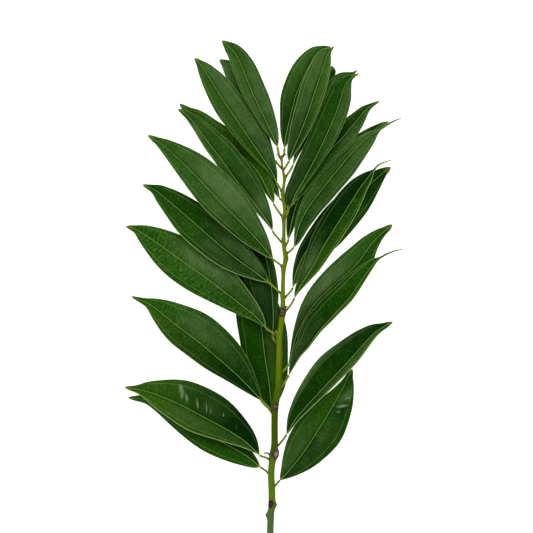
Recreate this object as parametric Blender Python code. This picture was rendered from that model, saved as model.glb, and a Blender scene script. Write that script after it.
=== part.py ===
"""A cut leafy branch lying on a table: one stem and 28 long pointed leaves, each leaf with its own stalk.

Plan sizes are millimetres in the branch's own plan, read by eye off the photograph: the middle of
the stem's cut end is (0, 0) and the branch runs along +Y. PLAN_CENTRE moves it all so that the
middle of the object's footprint is at the origin. Heights are millimetres above the table.
"""

from dataclasses import dataclass

import bpy
import numpy as np

MM = 0.001
PLAN_CENTRE = (-5.63, 226.83)

BLADE_THICKNESS = 0.62
MIDRIB_THICKNESS = 1.25
LEAST_HALF_WIDTH = 0.55
NARROW_WIDTH = 8.0
BLADE_STATIONS = 16
BLADE_COLUMNS = (1.0, 0.55, 0.0, -0.55, -1.0)
HALF_BULGE = 0.07
MARGIN_WAVE = 0.55
MARGIN_WAVES = 2.3

STALK_RADIUS = 0.85
STALK_FOOT_RADIUS = 1.15
STALK_STATIONS = 4
STALK_GAP = 0.3
STALK_REACH = 0.3
STALK_LEAN = 1.2

STEM_SIDES = 12
STEM_COLOUR = (0.30, 0.36, 0.03, 1.0)
LEAF_COLOUR = (0.035, 0.13, 0.02, 1.0)

# The stem's middle line and radius: x, y, z, radius.
STEM = (
    (0.1, 0.0, 2.89, 2.9),
    (0.2, 10.0, 3.8, 2.75),
    (0.6, 34.0, 6.2, 2.7),
    (1.6, 58.0, 8.3, 2.65),
    (2.7, 80.0, 9.9, 2.75),
    (3.6, 103.0, 11.3, 2.5),
    (4.1, 118.0, 12.1, 2.7),
    (4.4, 125.5, 12.5, 3.0),
    (6.2, 139.0, 13.2, 2.6),
    (7.6, 157.0, 14.0, 2.45),
    (8.1, 184.0, 15.0, 2.35),
    (9.9, 197.5, 15.5, 2.3),
    (11.3, 209.2, 15.8, 2.65),
    (11.7, 229.0, 16.3, 2.05),
    (12.2, 247.0, 16.8, 1.95),
    (14.0, 258.7, 17.0, 2.2),
    (12.2, 272.2, 17.2, 1.8),
    (12.6, 283.0, 17.4, 1.65),
    (13.5, 296.5, 17.6, 1.9),
    (12.6, 305.5, 17.7, 1.5),
    (11.7, 314.5, 17.8, 1.45),
    (12.6, 323.5, 17.9, 1.3),
    (12.6, 332.5, 18.0, 1.35),
    (11.9, 341.0, 18.0, 1.0),
    (11.6, 350.5, 18.0, 0.8),
)


@dataclass(frozen=True)
class Leaf:
    """One leaf, as seen from above.

    stem_y and stem_angle say where its stalk leaves the stem: 180 is the stem's left side, 0 its
    right side and 270 its underside. line is the midrib from the blade's base to its tip. wide is
    the greatest half-width left and right of it, and peak is where along the blade that is. full
    and blunt shape each half below and above its peak: the smaller, the rounder. tail is the share
    of the length that is only a thin drip tip. height is the midrib's height at the base, the
    middle and the tip. slope is the rise of each half towards its margin.
    """

    name: str
    stem_y: float
    stem_angle: float
    line: tuple
    wide: tuple
    peak: tuple
    full: tuple
    blunt: tuple
    tail: float
    height: tuple
    slope: tuple


LEAVES = (
    Leaf(
        "leaf_left_01", stem_y=347.0, stem_angle=180.0,
        line=((6.6, 357.7), (1.8, 369.4), (-5.4, 384.7), (-16.2, 407.2), (-26.1, 431.5), (-32.4, 443.2),
            (-43.2, 453.5)),
        wide=(8.5, 12.5), peak=(0.6, 0.55), full=(0.8, 0.75), blunt=(0.6, 0.72), tail=0.02,
        height=(19.0, 24.0, 15.0), slope=(0.3, -0.1),
    ),
    Leaf(
        "leaf_left_02", stem_y=338.5, stem_angle=200.0,
        line=((4.5, 346.0), (-7.2, 369.4), (-18.0, 392.8), (-27.9, 414.4), (-36.0, 428.8),
            (-45.5, 436.5)),
        wide=(9.0, 8.5), peak=(0.6, 0.6), full=(0.9, 0.9), blunt=(0.6, 0.6), tail=0.03,
        height=(16.0, 14.5, 9.0), slope=(0.1, 0.1),
    ),
    Leaf(
        "leaf_left_03", stem_y=318.0, stem_angle=180.0,
        line=((6.3, 325.3), (0.0, 337.9), (-13.5, 357.7), (-27.0, 377.5), (-40.5, 397.3),
            (-54.0, 418.9), (-63.0, 432.4), (-68.0, 437.8)),
        wide=(11.0, 16.5), peak=(0.6, 0.5), full=(1.0, 0.9), blunt=(0.7, 0.8), tail=0.03,
        height=(18.5, 22.0, 12.0), slope=(0.3, -0.12),
    ),
    Leaf(
        "leaf_left_04", stem_y=309.5, stem_angle=215.0,
        line=((8.6, 311.8), (4.5, 321.7), (-1.8, 334.3), (-10.8, 347.8), (-22.5, 364.9),
            (-34.2, 382.0)),
        wide=(6.0, 6.0), peak=(0.5, 0.5), full=(0.7, 0.9), blunt=(0.9, 0.9), tail=0.04,
        height=(12.5, 9.0, 6.0), slope=(0.1, 0.1),
    ),
    Leaf(
        "leaf_left_05", stem_y=294.5, stem_angle=190.0,
        line=((1.4, 310.9), (-3.6, 321.7), (-11.7, 336.1), (-27.0, 351.4), (-51.3, 368.5),
            (-66.6, 383.8), (-81.5, 396.9)),
        wide=(8.0, 13.0), peak=(0.45, 0.6), full=(0.9, 0.7), blunt=(0.9, 0.9), tail=0.03,
        height=(15.0, 14.0, 8.0), slope=(0.0, 0.0),
    ),
    Leaf(
        "leaf_left_06", stem_y=271.5, stem_angle=180.0,
        line=((2.3, 282.1), (-2.7, 291.1), (-12.6, 305.5), (-28.8, 325.8), (-45.0, 348.3),
            (-54.0, 359.5), (-65.7, 375.7), (-74.7, 386.5), (-82.8, 391.9)),
        wide=(6.5, 17.0), peak=(0.45, 0.45), full=(0.9, 0.9), blunt=(0.8, 0.9), tail=0.05,
        height=(16.5, 18.5, 12.0), slope=(0.0, 0.0),
    ),
    Leaf(
        "leaf_left_07", stem_y=249.5, stem_angle=180.0,
        line=((2.7, 256.9), (-9.0, 271.3), (-27.0, 290.7), (-45.0, 308.7), (-63.0, 327.6),
            (-81.0, 345.6), (-94.5, 357.7), (-103.5, 364.5), (-110.3, 368.5)),
        wide=(15.5, 22.0), peak=(0.45, 0.5), full=(0.9, 0.9), blunt=(0.9, 0.88), tail=0.05,
        height=(18.0, 27.0, 0.62), slope=(0.22, -0.06),
    ),
    Leaf(
        "leaf_left_08", stem_y=225.5, stem_angle=190.0,
        line=((-1.4, 235.8), (-13.5, 245.2), (-27.0, 254.7), (-45.0, 269.1), (-63.0, 284.8),
            (-81.0, 300.6), (-94.5, 311.8), (-103.5, 319.0), (-114.8, 323.8)),
        wide=(16.5, 18.0), peak=(0.52, 0.5), full=(0.9, 0.65), blunt=(0.85, 0.75), tail=0.05,
        height=(15.5, 19.0, 9.0), slope=(0.1, 0.05),
    ),
    Leaf(
        "leaf_left_09", stem_y=187.0, stem_angle=195.0,
        line=((-3.6, 194.8), (-13.5, 205.6), (-27.0, 216.4), (-45.0, 230.4), (-63.0, 243.9),
            (-81.0, 256.5), (-99.0, 269.5), (-112.5, 278.5), (-121.5, 283.9), (-130.0, 286.3)),
        wide=(18.8, 21.0), peak=(0.6, 0.5), full=(1.0, 0.65), blunt=(0.97, 0.75), tail=0.04,
        height=(14.0, 14.5, 5.0), slope=(0.2, -0.12),
    ),
    Leaf(
        "leaf_left_10", stem_y=119.0, stem_angle=185.0,
        line=((-7.2, 129.1), (-18.0, 140.8), (-31.5, 154.3), (-45.0, 166.0), (-63.0, 181.3),
            (-81.0, 194.8), (-99.0, 209.2), (-109.8, 216.9), (-125.1, 223.2)),
        wide=(16.8, 24.5), peak=(0.58, 0.5), full=(0.92, 0.95), blunt=(1.0, 0.78), tail=0.05,
        height=(14.0, 17.0, 5.0), slope=(0.35, -0.08),
    ),
    Leaf(
        "leaf_left_11", stem_y=75.5, stem_angle=175.0,
        line=((-9.5, 80.5), (-22.5, 92.7), (-40.5, 104.4), (-63.0, 116.5), (-81.0, 126.0),
            (-99.0, 133.6), (-112.5, 138.1), (-131.0, 141.4)),
        wide=(16.5, 25.0), peak=(0.55, 0.5), full=(1.0, 0.85), blunt=(0.85, 0.92), tail=0.04,
        height=(13.0, 18.0, 8.0), slope=(0.3, -0.05),
    ),
    Leaf(
        "leaf_left_12", stem_y=63.5, stem_angle=195.0,
        line=((-9.0, 69.7), (-22.5, 80.5), (-40.5, 90.4), (-63.0, 102.1), (-81.0, 112.9),
            (-99.0, 123.7), (-112.5, 130.0), (-127.8, 132.0)),
        wide=(13.8, 12.0), peak=(0.35, 0.5), full=(0.75, 0.7), blunt=(1.3, 0.9), tail=0.05,
        height=(8.0, 8.5, 3.0), slope=(0.1, 0.1),
    ),
    Leaf(
        "leaf_left_13", stem_y=121.5, stem_angle=235.0,
        line=((0.5, 128.2), (-1.4, 148.0), (-4.5, 167.8), (-7.2, 190.3), (-10.8, 215.5), (-14.4, 239.8),
            (-18.0, 260.5)),
        wide=(22.0, 22.0), peak=(0.5, 0.45), full=(0.6, 0.9), blunt=(0.62, 0.9), tail=0.04,
        height=(6.8, 4.0, 3.0), slope=(0.0, 0.0),
    ),
    Leaf(
        "leaf_left_14", stem_y=180.0, stem_angle=225.0,
        line=((2.3, 188.5), (3.0, 202.0), (2.3, 220.0), (0.9, 233.5), (-2.7, 254.2), (-9.0, 272.2),
            (-17.1, 285.7)),
        wide=(17.0, 8.0), peak=(0.45, 0.45), full=(0.9, 1.1), blunt=(0.7, 0.9), tail=0.04,
        height=(10.0, 8.5, 7.0), slope=(0.0, 0.1),
    ),
    Leaf(
        "leaf_right_01", stem_y=349.0, stem_angle=10.0,
        line=((13.0, 356.8), (14.4, 368.5), (18.0, 383.8), (22.0, 400.0), (27.0, 413.5), (33.3, 427.0),
            (40.5, 439.6), (47.7, 445.9), (58.0, 449.2)),
        wide=(13.5, 10.0), peak=(0.6, 0.6), full=(0.9, 0.75), blunt=(0.85, 0.5), tail=0.02,
        height=(18.5, 19.0, 15.0), slope=(0.0, 0.0),
    ),
    Leaf(
        "leaf_right_02", stem_y=337.0, stem_angle=10.0,
        line=((17.1, 345.1), (20.7, 355.0), (28.8, 373.9), (35.1, 391.0), (40.0, 406.3), (44.1, 418.0),
            (48.2, 430.6), (51.3, 440.5), (55.4, 445.0)),
        wide=(13.0, 10.0), peak=(0.6, 0.6), full=(0.7, 0.75), blunt=(0.5, 0.5), tail=0.0,
        height=(19.0, 26.0, 19.5), slope=(0.05, 0.2),
    ),
    Leaf(
        "leaf_right_03", stem_y=330.0, stem_angle=350.0,
        line=((20.7, 341.5), (25.2, 353.2), (32.4, 368.5), (40.5, 386.5), (46.8, 403.6), (52.2, 418.0),
            (56.3, 430.6)),
        wide=(6.0, 7.0), peak=(0.5, 0.6), full=(0.9, 0.9), blunt=(0.9, 0.5), tail=0.0,
        height=(15.0, 13.0, 12.0), slope=(0.0, 0.0),
    ),
    Leaf(
        "leaf_right_04", stem_y=295.0, stem_angle=40.0,
        line=((16.7, 301.0), (19.8, 307.3), (23.4, 316.3), (29.3, 326.2), (41.4, 348.7), (48.6, 363.6),
            (54.9, 377.5), (59.4, 388.3), (63.9, 401.8), (66.6, 410.8), (72.0, 418.9), (80.1, 423.9)),
        wide=(13.5, 10.0), peak=(0.6, 0.7), full=(0.55, 1.2), blunt=(0.55, 0.55), tail=0.02,
        height=(19.5, 22.0, 17.0), slope=(-0.1, 0.2),
    ),
    Leaf(
        "leaf_right_05", stem_y=313.5, stem_angle=345.0,
        line=((26.1, 327.1), (35.1, 346.0), (44.1, 364.9), (52.2, 383.8), (59.4, 399.1), (66.6, 412.6),
            (72.0, 420.7), (78.3, 427.0)),
        wide=(14.0, 7.0), peak=(0.72, 0.6), full=(1.3, 0.9), blunt=(0.5, 0.8), tail=0.02,
        height=(15.5, 17.5, 12.5), slope=(0.0, 0.0),
    ),
    Leaf(
        "leaf_right_06", stem_y=301.0, stem_angle=325.0,
        line=((22.1, 308.2), (29.7, 319.9), (37.8, 333.4), (49.5, 349.2), (56.7, 357.3), (65.7, 366.7),
            (72.0, 374.4), (78.3, 381.6), (85.5, 390.6), (91.8, 395.5), (98.6, 399.1)),
        wide=(10.0, 9.5), peak=(0.6, 0.6), full=(0.9, 0.9), blunt=(0.75, 0.8), tail=0.04,
        height=(14.5, 13.5, 11.0), slope=(0.0, 0.1),
    ),
    Leaf(
        "leaf_right_07", stem_y=269.0, stem_angle=335.0,
        line=((16.7, 274.9), (18.0, 282.1), (19.8, 291.1), (23.4, 304.6), (28.8, 315.4), (39.6, 327.1),
            (54.0, 340.2), (68.4, 352.3), (81.0, 362.7), (91.8, 371.7), (99.9, 377.5), (107.1, 380.8)),
        wide=(9.0, 8.5), peak=(0.6, 0.5), full=(0.6, 0.8), blunt=(0.85, 0.9), tail=0.03,
        height=(12.5, 4.0, 1.03), slope=(0.0, 0.0),
    ),
    Leaf(
        "leaf_right_08", stem_y=261.0, stem_angle=0.0,
        line=((21.2, 267.7), (24.3, 280.3), (27.9, 291.1), (36.0, 305.5), (45.0, 317.2), (54.0, 328.9),
            (63.0, 339.7), (72.0, 350.5), (81.0, 360.0), (90.0, 368.0), (98.1, 373.0), (108.0, 379.3),
            (118.8, 384.2)),
        wide=(11.5, 12.5), peak=(0.55, 0.62), full=(0.9, 0.62), blunt=(0.7, 0.85), tail=0.14,
        height=(16.0, 10.5, 7.0), slope=(0.0, 0.25),
    ),
    Leaf(
        "leaf_right_09", stem_y=210.0, stem_angle=0.0,
        line=((22.1, 221.8), (25.2, 229.0), (32.4, 240.7), (38.7, 250.6), (46.8, 265.9), (56.7, 282.1),
            (65.7, 296.5), (74.7, 310.9), (81.0, 320.8), (87.3, 328.9), (92.7, 336.1), (99.0, 342.4),
            (109.8, 346.3)),
        wide=(15.0, 10.0), peak=(0.6, 0.55), full=(0.9, 0.9), blunt=(0.85, 0.8), tail=0.11,
        height=(16.0, 16.0, 8.0), slope=(0.05, 0.25),
    ),
    Leaf(
        "leaf_right_10", stem_y=222.0, stem_angle=340.0,
        line=((20.4, 231.3), (22.1, 239.8), (25.7, 250.6), (33.3, 265.0), (45.9, 280.3), (63.9, 299.7),
            (79.2, 313.6), (91.8, 325.3), (100.8, 333.9), (108.9, 339.7)),
        wide=(12.0, 19.5), peak=(0.6, 0.5), full=(1.0, 0.95), blunt=(0.75, 1.0), tail=0.03,
        height=(14.0, 10.0, 4.0), slope=(-0.05, 0.1),
    ),
    Leaf(
        "leaf_right_11", stem_y=154.5, stem_angle=345.0,
        line=((16.7, 162.4), (19.8, 175.0), (25.2, 191.2), (34.2, 208.3), (45.0, 221.8), (58.5, 234.4),
            (72.0, 246.1), (81.0, 256.0), (90.0, 268.6), (99.0, 278.5), (110.3, 288.0)),
        wide=(15.5, 19.0), peak=(0.62, 0.48), full=(1.45, 0.9), blunt=(0.8, 1.3), tail=0.03,
        height=(12.0, 9.0, 4.0), slope=(0.1, 0.05),
    ),
    Leaf(
        "leaf_right_12", stem_y=142.0, stem_angle=5.0,
        line=((17.1, 152.5), (21.6, 160.6), (27.0, 169.6), (34.2, 177.7), (44.1, 192.1), (53.1, 202.0),
            (61.2, 211.0), (69.8, 220.0), (76.5, 229.0), (81.9, 237.1), (88.2, 246.1), (94.5, 254.2),
            (101.7, 259.6), (110.7, 263.7), (119.7, 265.9)),
        wide=(17.0, 5.0), peak=(0.5, 0.7), full=(0.9, 1.5), blunt=(0.9, 0.9), tail=0.17,
        height=(15.0, 17.0, 6.0), slope=(0.0, 0.7),
    ),
    Leaf(
        "leaf_right_13", stem_y=89.0, stem_angle=0.0,
        line=((14.9, 99.0), (22.5, 112.1), (31.5, 122.9), (45.0, 137.7), (58.5, 152.1), (72.0, 166.5),
            (84.6, 180.9), (94.5, 190.8), (103.5, 196.7), (110.7, 200.2)),
        wide=(19.5, 6.8), peak=(0.5, 0.62), full=(0.95, 0.7), blunt=(0.8, 0.8), tail=0.03,
        height=(12.5, 17.0, 7.0), slope=(-0.05, 0.5),
    ),
    Leaf(
        "leaf_right_14", stem_y=52.0, stem_angle=345.0,
        line=((9.0, 57.6), (18.0, 67.1), (31.5, 84.6), (45.0, 105.3), (57.6, 126.0), (65.7, 140.4),
            (70.2, 149.4), (74.2, 157.5)),
        wide=(19.0, 23.5), peak=(0.43, 0.5), full=(0.9, 0.97), blunt=(0.9, 0.9), tail=0.03,
        height=(8.0, 6.5, 3.5), slope=(0.05, 0.1),
    ),
)


def unit(vectors):
    """Vectors of length 1 along the given ones."""
    return vectors / np.linalg.norm(vectors, axis=-1, keepdims=True)


def smooth_line(points, count):
    """count points, evenly spaced along a smooth curve through the given ones."""
    points = np.array(points, float)
    padded = np.vstack([2 * points[0] - points[1], points, 2 * points[-1] - points[-2]])
    steps = np.linspace(0.0, 1.0, 12, endpoint=False)[:, None]
    pieces = []
    for before, start, end, after in zip(padded, padded[1:], padded[2:], padded[3:]):
        bend = 2 * before - 5 * start + 4 * end - after
        twist = 3 * start - before - 3 * end + after
        pieces.append(start + 0.5 * ((end - before) * steps + bend * steps**2 + twist * steps**3))
    curve = np.vstack(pieces + [points[-1:]])
    along = np.concatenate([[0.0], np.cumsum(np.linalg.norm(np.diff(curve, axis=0), axis=1))])
    wanted = np.linspace(0.0, along[-1], count)
    return np.stack([np.interp(wanted, along, curve[:, axis]) for axis in range(points.shape[1])], axis=1)


def closed_mesh(rings):
    """Vertices and triangles of the skin over closed rings of equal size, with both ends capped."""
    count, size, _ = rings.shape
    faces = []
    for ring in range(count - 1):
        low, high = ring * size, (ring + 1) * size
        for corner in range(size):
            after = (corner + 1) % size
            a, b, c, d = low + corner, low + after, high + after, high + corner
            # The top and the underside of a blade are split along the same diagonal.
            if corner < size // 2:
                faces += [(a, b, c), (a, c, d)]
            else:
                faces += [(a, b, d), (b, c, d)]
    last = (count - 1) * size
    for corner in range(size // 2 - 1):
        across = size - 2 - corner
        for face in ((corner, corner + 1, across), (corner, across, across + 1)):
            faces.append(face[::-1])
            faces.append(tuple(last + index for index in face))
    points = rings.reshape(-1, 3)
    corners = points[np.array(faces)]
    volume = np.einsum("ij,ij->i", corners[:, 0], np.cross(corners[:, 1], corners[:, 2])).sum()
    if volume < 0:
        faces = [face[::-1] for face in faces]
    return points, faces


def add_object(name, rings, colour, roughness):
    """A mesh object in metres, with a material of its own."""
    points, faces = closed_mesh(rings)
    points = (points - np.array([PLAN_CENTRE[0], PLAN_CENTRE[1], 0.0])) * MM
    mesh = bpy.data.meshes.new(name)
    mesh.from_pydata(points.tolist(), [], faces)
    mesh.validate()
    material = bpy.data.materials.new(name)
    material.use_nodes = True
    shader = material.node_tree.nodes["Principled BSDF"]
    shader.inputs["Base Color"].default_value = colour
    shader.inputs["Roughness"].default_value = roughness
    material.diffuse_color = colour
    mesh.materials.append(material)
    obj = bpy.data.objects.new(name, mesh)
    bpy.context.scene.collection.objects.link(obj)
    return obj


def stem_at(y):
    """The stem's middle and radius at plan position y."""
    table = np.array(STEM)
    x, z, radius = (np.interp(y, table[:, 1], table[:, column]) for column in (0, 2, 3))
    return np.array([x, y, z]), radius


def stem_rings():
    """Round sections along the stem, square to it."""
    line = np.array(STEM)
    middle, radius = line[:, :3], line[:, 3]
    forward = unit(np.gradient(middle, axis=0))
    side = unit(np.cross(forward, np.array([0.0, 0.0, 1.0])))
    up = np.cross(side, forward)
    turn = np.linspace(0.0, 2 * np.pi, STEM_SIDES, endpoint=False)[None, :, None]
    spokes = np.cos(turn) * side[:, None] + np.sin(turn) * up[:, None]
    return middle[:, None] + radius[:, None, None] * spokes


def half_width(along, leaf, side):
    """The plan half-width of one side of the blade at each station."""
    reach = np.clip(along / (1.0 - leaf.tail), 0.0, 1.0)
    peak = leaf.peak[side]
    below = np.clip(reach / peak, 0.0, 1.0) ** leaf.full[side]
    above = np.clip((1.0 - reach) / (1.0 - peak), 0.0, 1.0) ** leaf.blunt[side]
    shape = np.sin(np.pi / 2 * np.minimum(below, above))
    return np.maximum(leaf.wide[side] * shape, LEAST_HALF_WIDTH)


def blade_surface(leaf):
    """The blade's upper surface as stations by columns, and its unit normals."""
    plan = smooth_line(leaf.line, BLADE_STATIONS)
    along = np.linspace(0.0, 1.0, BLADE_STATIONS)
    forward = unit(np.gradient(plan, axis=0))
    left = np.stack([-forward[:, 1], forward[:, 0]], axis=1)
    low, mid, high = leaf.height
    height = low * (1 - along) * (1 - 2 * along) + high * along * (2 * along - 1)
    height += 4 * mid * along * (1 - along)
    phase = 0.7 * len(leaf.line) + 0.013 * leaf.stem_y
    surface = np.empty((BLADE_STATIONS, len(BLADE_COLUMNS), 3))
    for column, share in enumerate(BLADE_COLUMNS):
        side = 0 if share >= 0 else 1
        wide = half_width(along, leaf, side)
        out = abs(share)
        wave = np.sin(np.pi * along) * np.sin(2 * np.pi * MARGIN_WAVES * along + phase + 2 * side)
        surface[:, column, :2] = plan + left * (share * wide)[:, None]
        surface[:, column, 2] = (
            height
            + wide * (leaf.slope[side] * out + 4 * HALF_BULGE * out * (1 - out))
            + MARGIN_WAVE * wave * out**2
        )
    normal = unit(np.cross(np.gradient(surface, axis=0), -np.gradient(surface, axis=1)))
    return surface, normal


def stalk_rings(leaf, base, forward, left):
    """Round sections from the stem's skin to the blade's base."""
    middle, radius = stem_at(leaf.stem_y)
    further, _ = stem_at(leaf.stem_y + 1.0)
    along_stem = unit(further - middle)
    turn = np.radians(leaf.stem_angle)
    out = np.array([np.cos(turn), 0.0, np.sin(turn)])
    out = unit(out - along_stem * (out @ along_stem))
    start = middle + out * (radius + STALK_GAP)
    reach = STALK_REACH * np.linalg.norm(base - start)
    lead = unit(out + STALK_LEAN * along_stem)
    controls = (start, start + lead * reach, base - forward * reach, base)
    half = np.radians(np.linspace(18.0, 162.0, len(BLADE_COLUMNS)))
    turns = np.concatenate([half, -half[::-1]])
    rings = []
    side = left
    for step in np.linspace(0.0, 1.0, STALK_STATIONS, endpoint=False)[::-1]:
        rest = 1.0 - step
        weights = (rest**3, 3 * rest**2 * step, 3 * rest * step**2, step**3)
        point = sum(weight * control for weight, control in zip(weights, controls))
        slopes = (3 * rest**2, 6 * rest * step, 3 * step**2)
        ahead = sum(slope * (end - begin) for slope, begin, end in zip(slopes, controls, controls[1:]))
        # The foot lies flat on the stem's skin.
        ahead = unit(ahead) if step > 0 else out
        side = unit(side - ahead * (side @ ahead))
        up = np.cross(ahead, side)
        size = STALK_FOOT_RADIUS + (STALK_RADIUS - STALK_FOOT_RADIUS) * min(1.0, 2.5 * step)
        rings.insert(0, point + size * (np.cos(turns)[:, None] * side + np.sin(turns)[:, None] * up))
    return rings


def leaf_rings(leaf):
    """Sections of the whole leaf: its round stalk, then its thin blade."""
    surface, normal = blade_surface(leaf)
    middle = len(BLADE_COLUMNS) // 2
    # Where the blade is narrow, all of a section's corners share one direction and one thickness.
    spread = np.linalg.norm(surface[:, 0] - surface[:, -1], axis=1)
    broad = np.clip(spread / NARROW_WIDTH, 0.0, 1.0)[:, None, None]
    shared = normal.mean(axis=1, keepdims=True)
    normal = unit(broad * normal + (1.0 - broad) * shared)
    thickness = np.full((BLADE_STATIONS, len(BLADE_COLUMNS), 1), BLADE_THICKNESS)
    thickness[:, middle] += (MIDRIB_THICKNESS - BLADE_THICKNESS) * broad[:, 0]
    under = surface - normal * thickness
    forward = unit(surface[1, middle] - surface[0, middle])
    left = unit(surface[0, 0] - surface[0, -1])
    base = (surface[0, middle] + under[0, middle]) / 2
    rings = stalk_rings(leaf, base, forward, left)
    for top, bottom in zip(surface, under):
        rings.append(np.vstack([top, bottom[::-1]]))
    return np.array(rings)


def main():
    for obj in list(bpy.data.objects):
        bpy.data.objects.remove(obj, do_unlink=True)
    add_object("stem", stem_rings(), STEM_COLOUR, 0.5)
    for leaf in LEAVES:
        add_object(leaf.name, leaf_rings(leaf), LEAF_COLOUR, 0.42)


main()
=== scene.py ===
"""The looks of a cut leafy branch, seen from above as it lies on a bright white table.

The branch is a green twig with 28 leathery leaves. Each leaf has three nerves, a fine net of
veins between them, a painted sheen and painted shade in its green, and a narrow drip tip. Plan
sizes are millimetres in the branch's own plan: the middle of the twig's cut end is (0, 0) and the
branch runs along +Y. The middle lines keep close to those of the solids, so each piece lies where
its solid does.
"""

import logging
from dataclasses import dataclass
from enum import Enum
from typing import Any, Sequence

import bpy
import numpy as np
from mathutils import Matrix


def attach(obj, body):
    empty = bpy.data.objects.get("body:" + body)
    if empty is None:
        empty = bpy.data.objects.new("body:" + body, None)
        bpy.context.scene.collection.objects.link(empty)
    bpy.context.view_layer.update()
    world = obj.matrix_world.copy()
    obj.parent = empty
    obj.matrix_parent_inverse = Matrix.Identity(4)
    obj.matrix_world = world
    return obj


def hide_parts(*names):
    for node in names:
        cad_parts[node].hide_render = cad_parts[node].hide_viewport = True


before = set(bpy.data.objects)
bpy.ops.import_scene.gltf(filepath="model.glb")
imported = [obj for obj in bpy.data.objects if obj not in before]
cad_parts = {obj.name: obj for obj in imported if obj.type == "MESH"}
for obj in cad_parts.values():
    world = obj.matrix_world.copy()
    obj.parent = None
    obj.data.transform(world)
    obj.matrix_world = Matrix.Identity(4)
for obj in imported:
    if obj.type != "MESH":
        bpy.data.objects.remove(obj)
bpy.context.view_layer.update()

LOG = logging.getLogger("branch")

MM = 0.001
BODY = "root"
PLAN_CENTRE = (-5.63, 226.83)
ALONG_TWIG = np.array([0.0, 1.0, 0.0])

# How the photograph lies over the plan: 0.9 mm a pixel, and the plan point at the picture's middle.
PICTURE_PIXELS = 533
PIXEL_MM = 0.9
PICTURE_MIDDLE = (-3.15, 250.15)

Triple = tuple[float, float, float]
Pair = tuple[float, float]


class Dry(Enum):
    """The skin of a bud, a stub or a scar. Its value names the finish."""

    BROWN = "bud_brown"
    PALE = "bud_pale"
    GREEN = "bud_green"
    CORK = "scar_cork"
    DARK_CORK = "scar_dark_cork"
    ROUGH = "scar_rough"


class Curve(Enum):
    """How far a stub bends over at its end."""

    STRAIGHT = 0.0
    HOOKED = 1.0


def unit(vectors: np.ndarray) -> np.ndarray:
    """Vectors of length 1 along the given ones."""
    return vectors / np.linalg.norm(vectors, axis=-1, keepdims=True)


def outward(turn: float) -> np.ndarray:
    """The direction away from the twig at an angle round it, in radians from the right side."""
    return np.array([np.cos(turn), 0.0, np.sin(turn)])


def spokes(angles: np.ndarray, side: np.ndarray, up: np.ndarray) -> np.ndarray:
    """Points of a circle of radius 1 in the plane of side and up, angles by 3."""
    return np.cos(angles)[:, None] * side + np.sin(angles)[:, None] * up


def full_turn(count: int) -> np.ndarray:
    """Angles once round, without the last one, which is the first again."""
    return np.linspace(0.0, 2 * np.pi, count, endpoint=False)


def smoothstep(low: float, high: float, value: Any) -> Any:
    """0 below low, 1 above high, and a smooth ramp between them."""
    step = np.clip((value - low) / (high - low), 0.0, 1.0)
    return step * step * (3.0 - 2.0 * step)


def bell(off: Any, spread: float) -> Any:
    """1 where off is 0, falling smoothly on both sides, to 0.37 at spread."""
    return np.exp(-((off / spread) ** 2))


def smooth_line(points: Sequence[Sequence[float]], count: int) -> np.ndarray:
    """A smooth curve through some points.

    Args:
        points: The points that the curve passes through.
        count: How many points to read from the curve.

    Returns:
        count points, evenly spaced along the curve.
    """
    through = np.array(points, float)
    padded = np.vstack([2 * through[0] - through[1], through, 2 * through[-1] - through[-2]])
    steps = np.linspace(0.0, 1.0, 12, endpoint=False)[:, None]
    pieces = []
    for before, start, end, after in zip(padded, padded[1:], padded[2:], padded[3:]):
        bend = 2 * before - 5 * start + 4 * end - after
        twist = 3 * start - before - 3 * end + after
        pieces.append(start + 0.5 * ((end - before) * steps + bend * steps**2 + twist * steps**3))
    curve = np.vstack(pieces + [through[-1:]])
    lengths = np.linalg.norm(np.diff(curve, axis=0), axis=1)
    along = np.concatenate([[0.0], np.cumsum(lengths)])
    wanted = np.linspace(0.0, along[-1], count)
    columns = [np.interp(wanted, along, curve[:, axis]) for axis in range(through.shape[1])]
    return np.stack(columns, axis=1)


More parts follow.
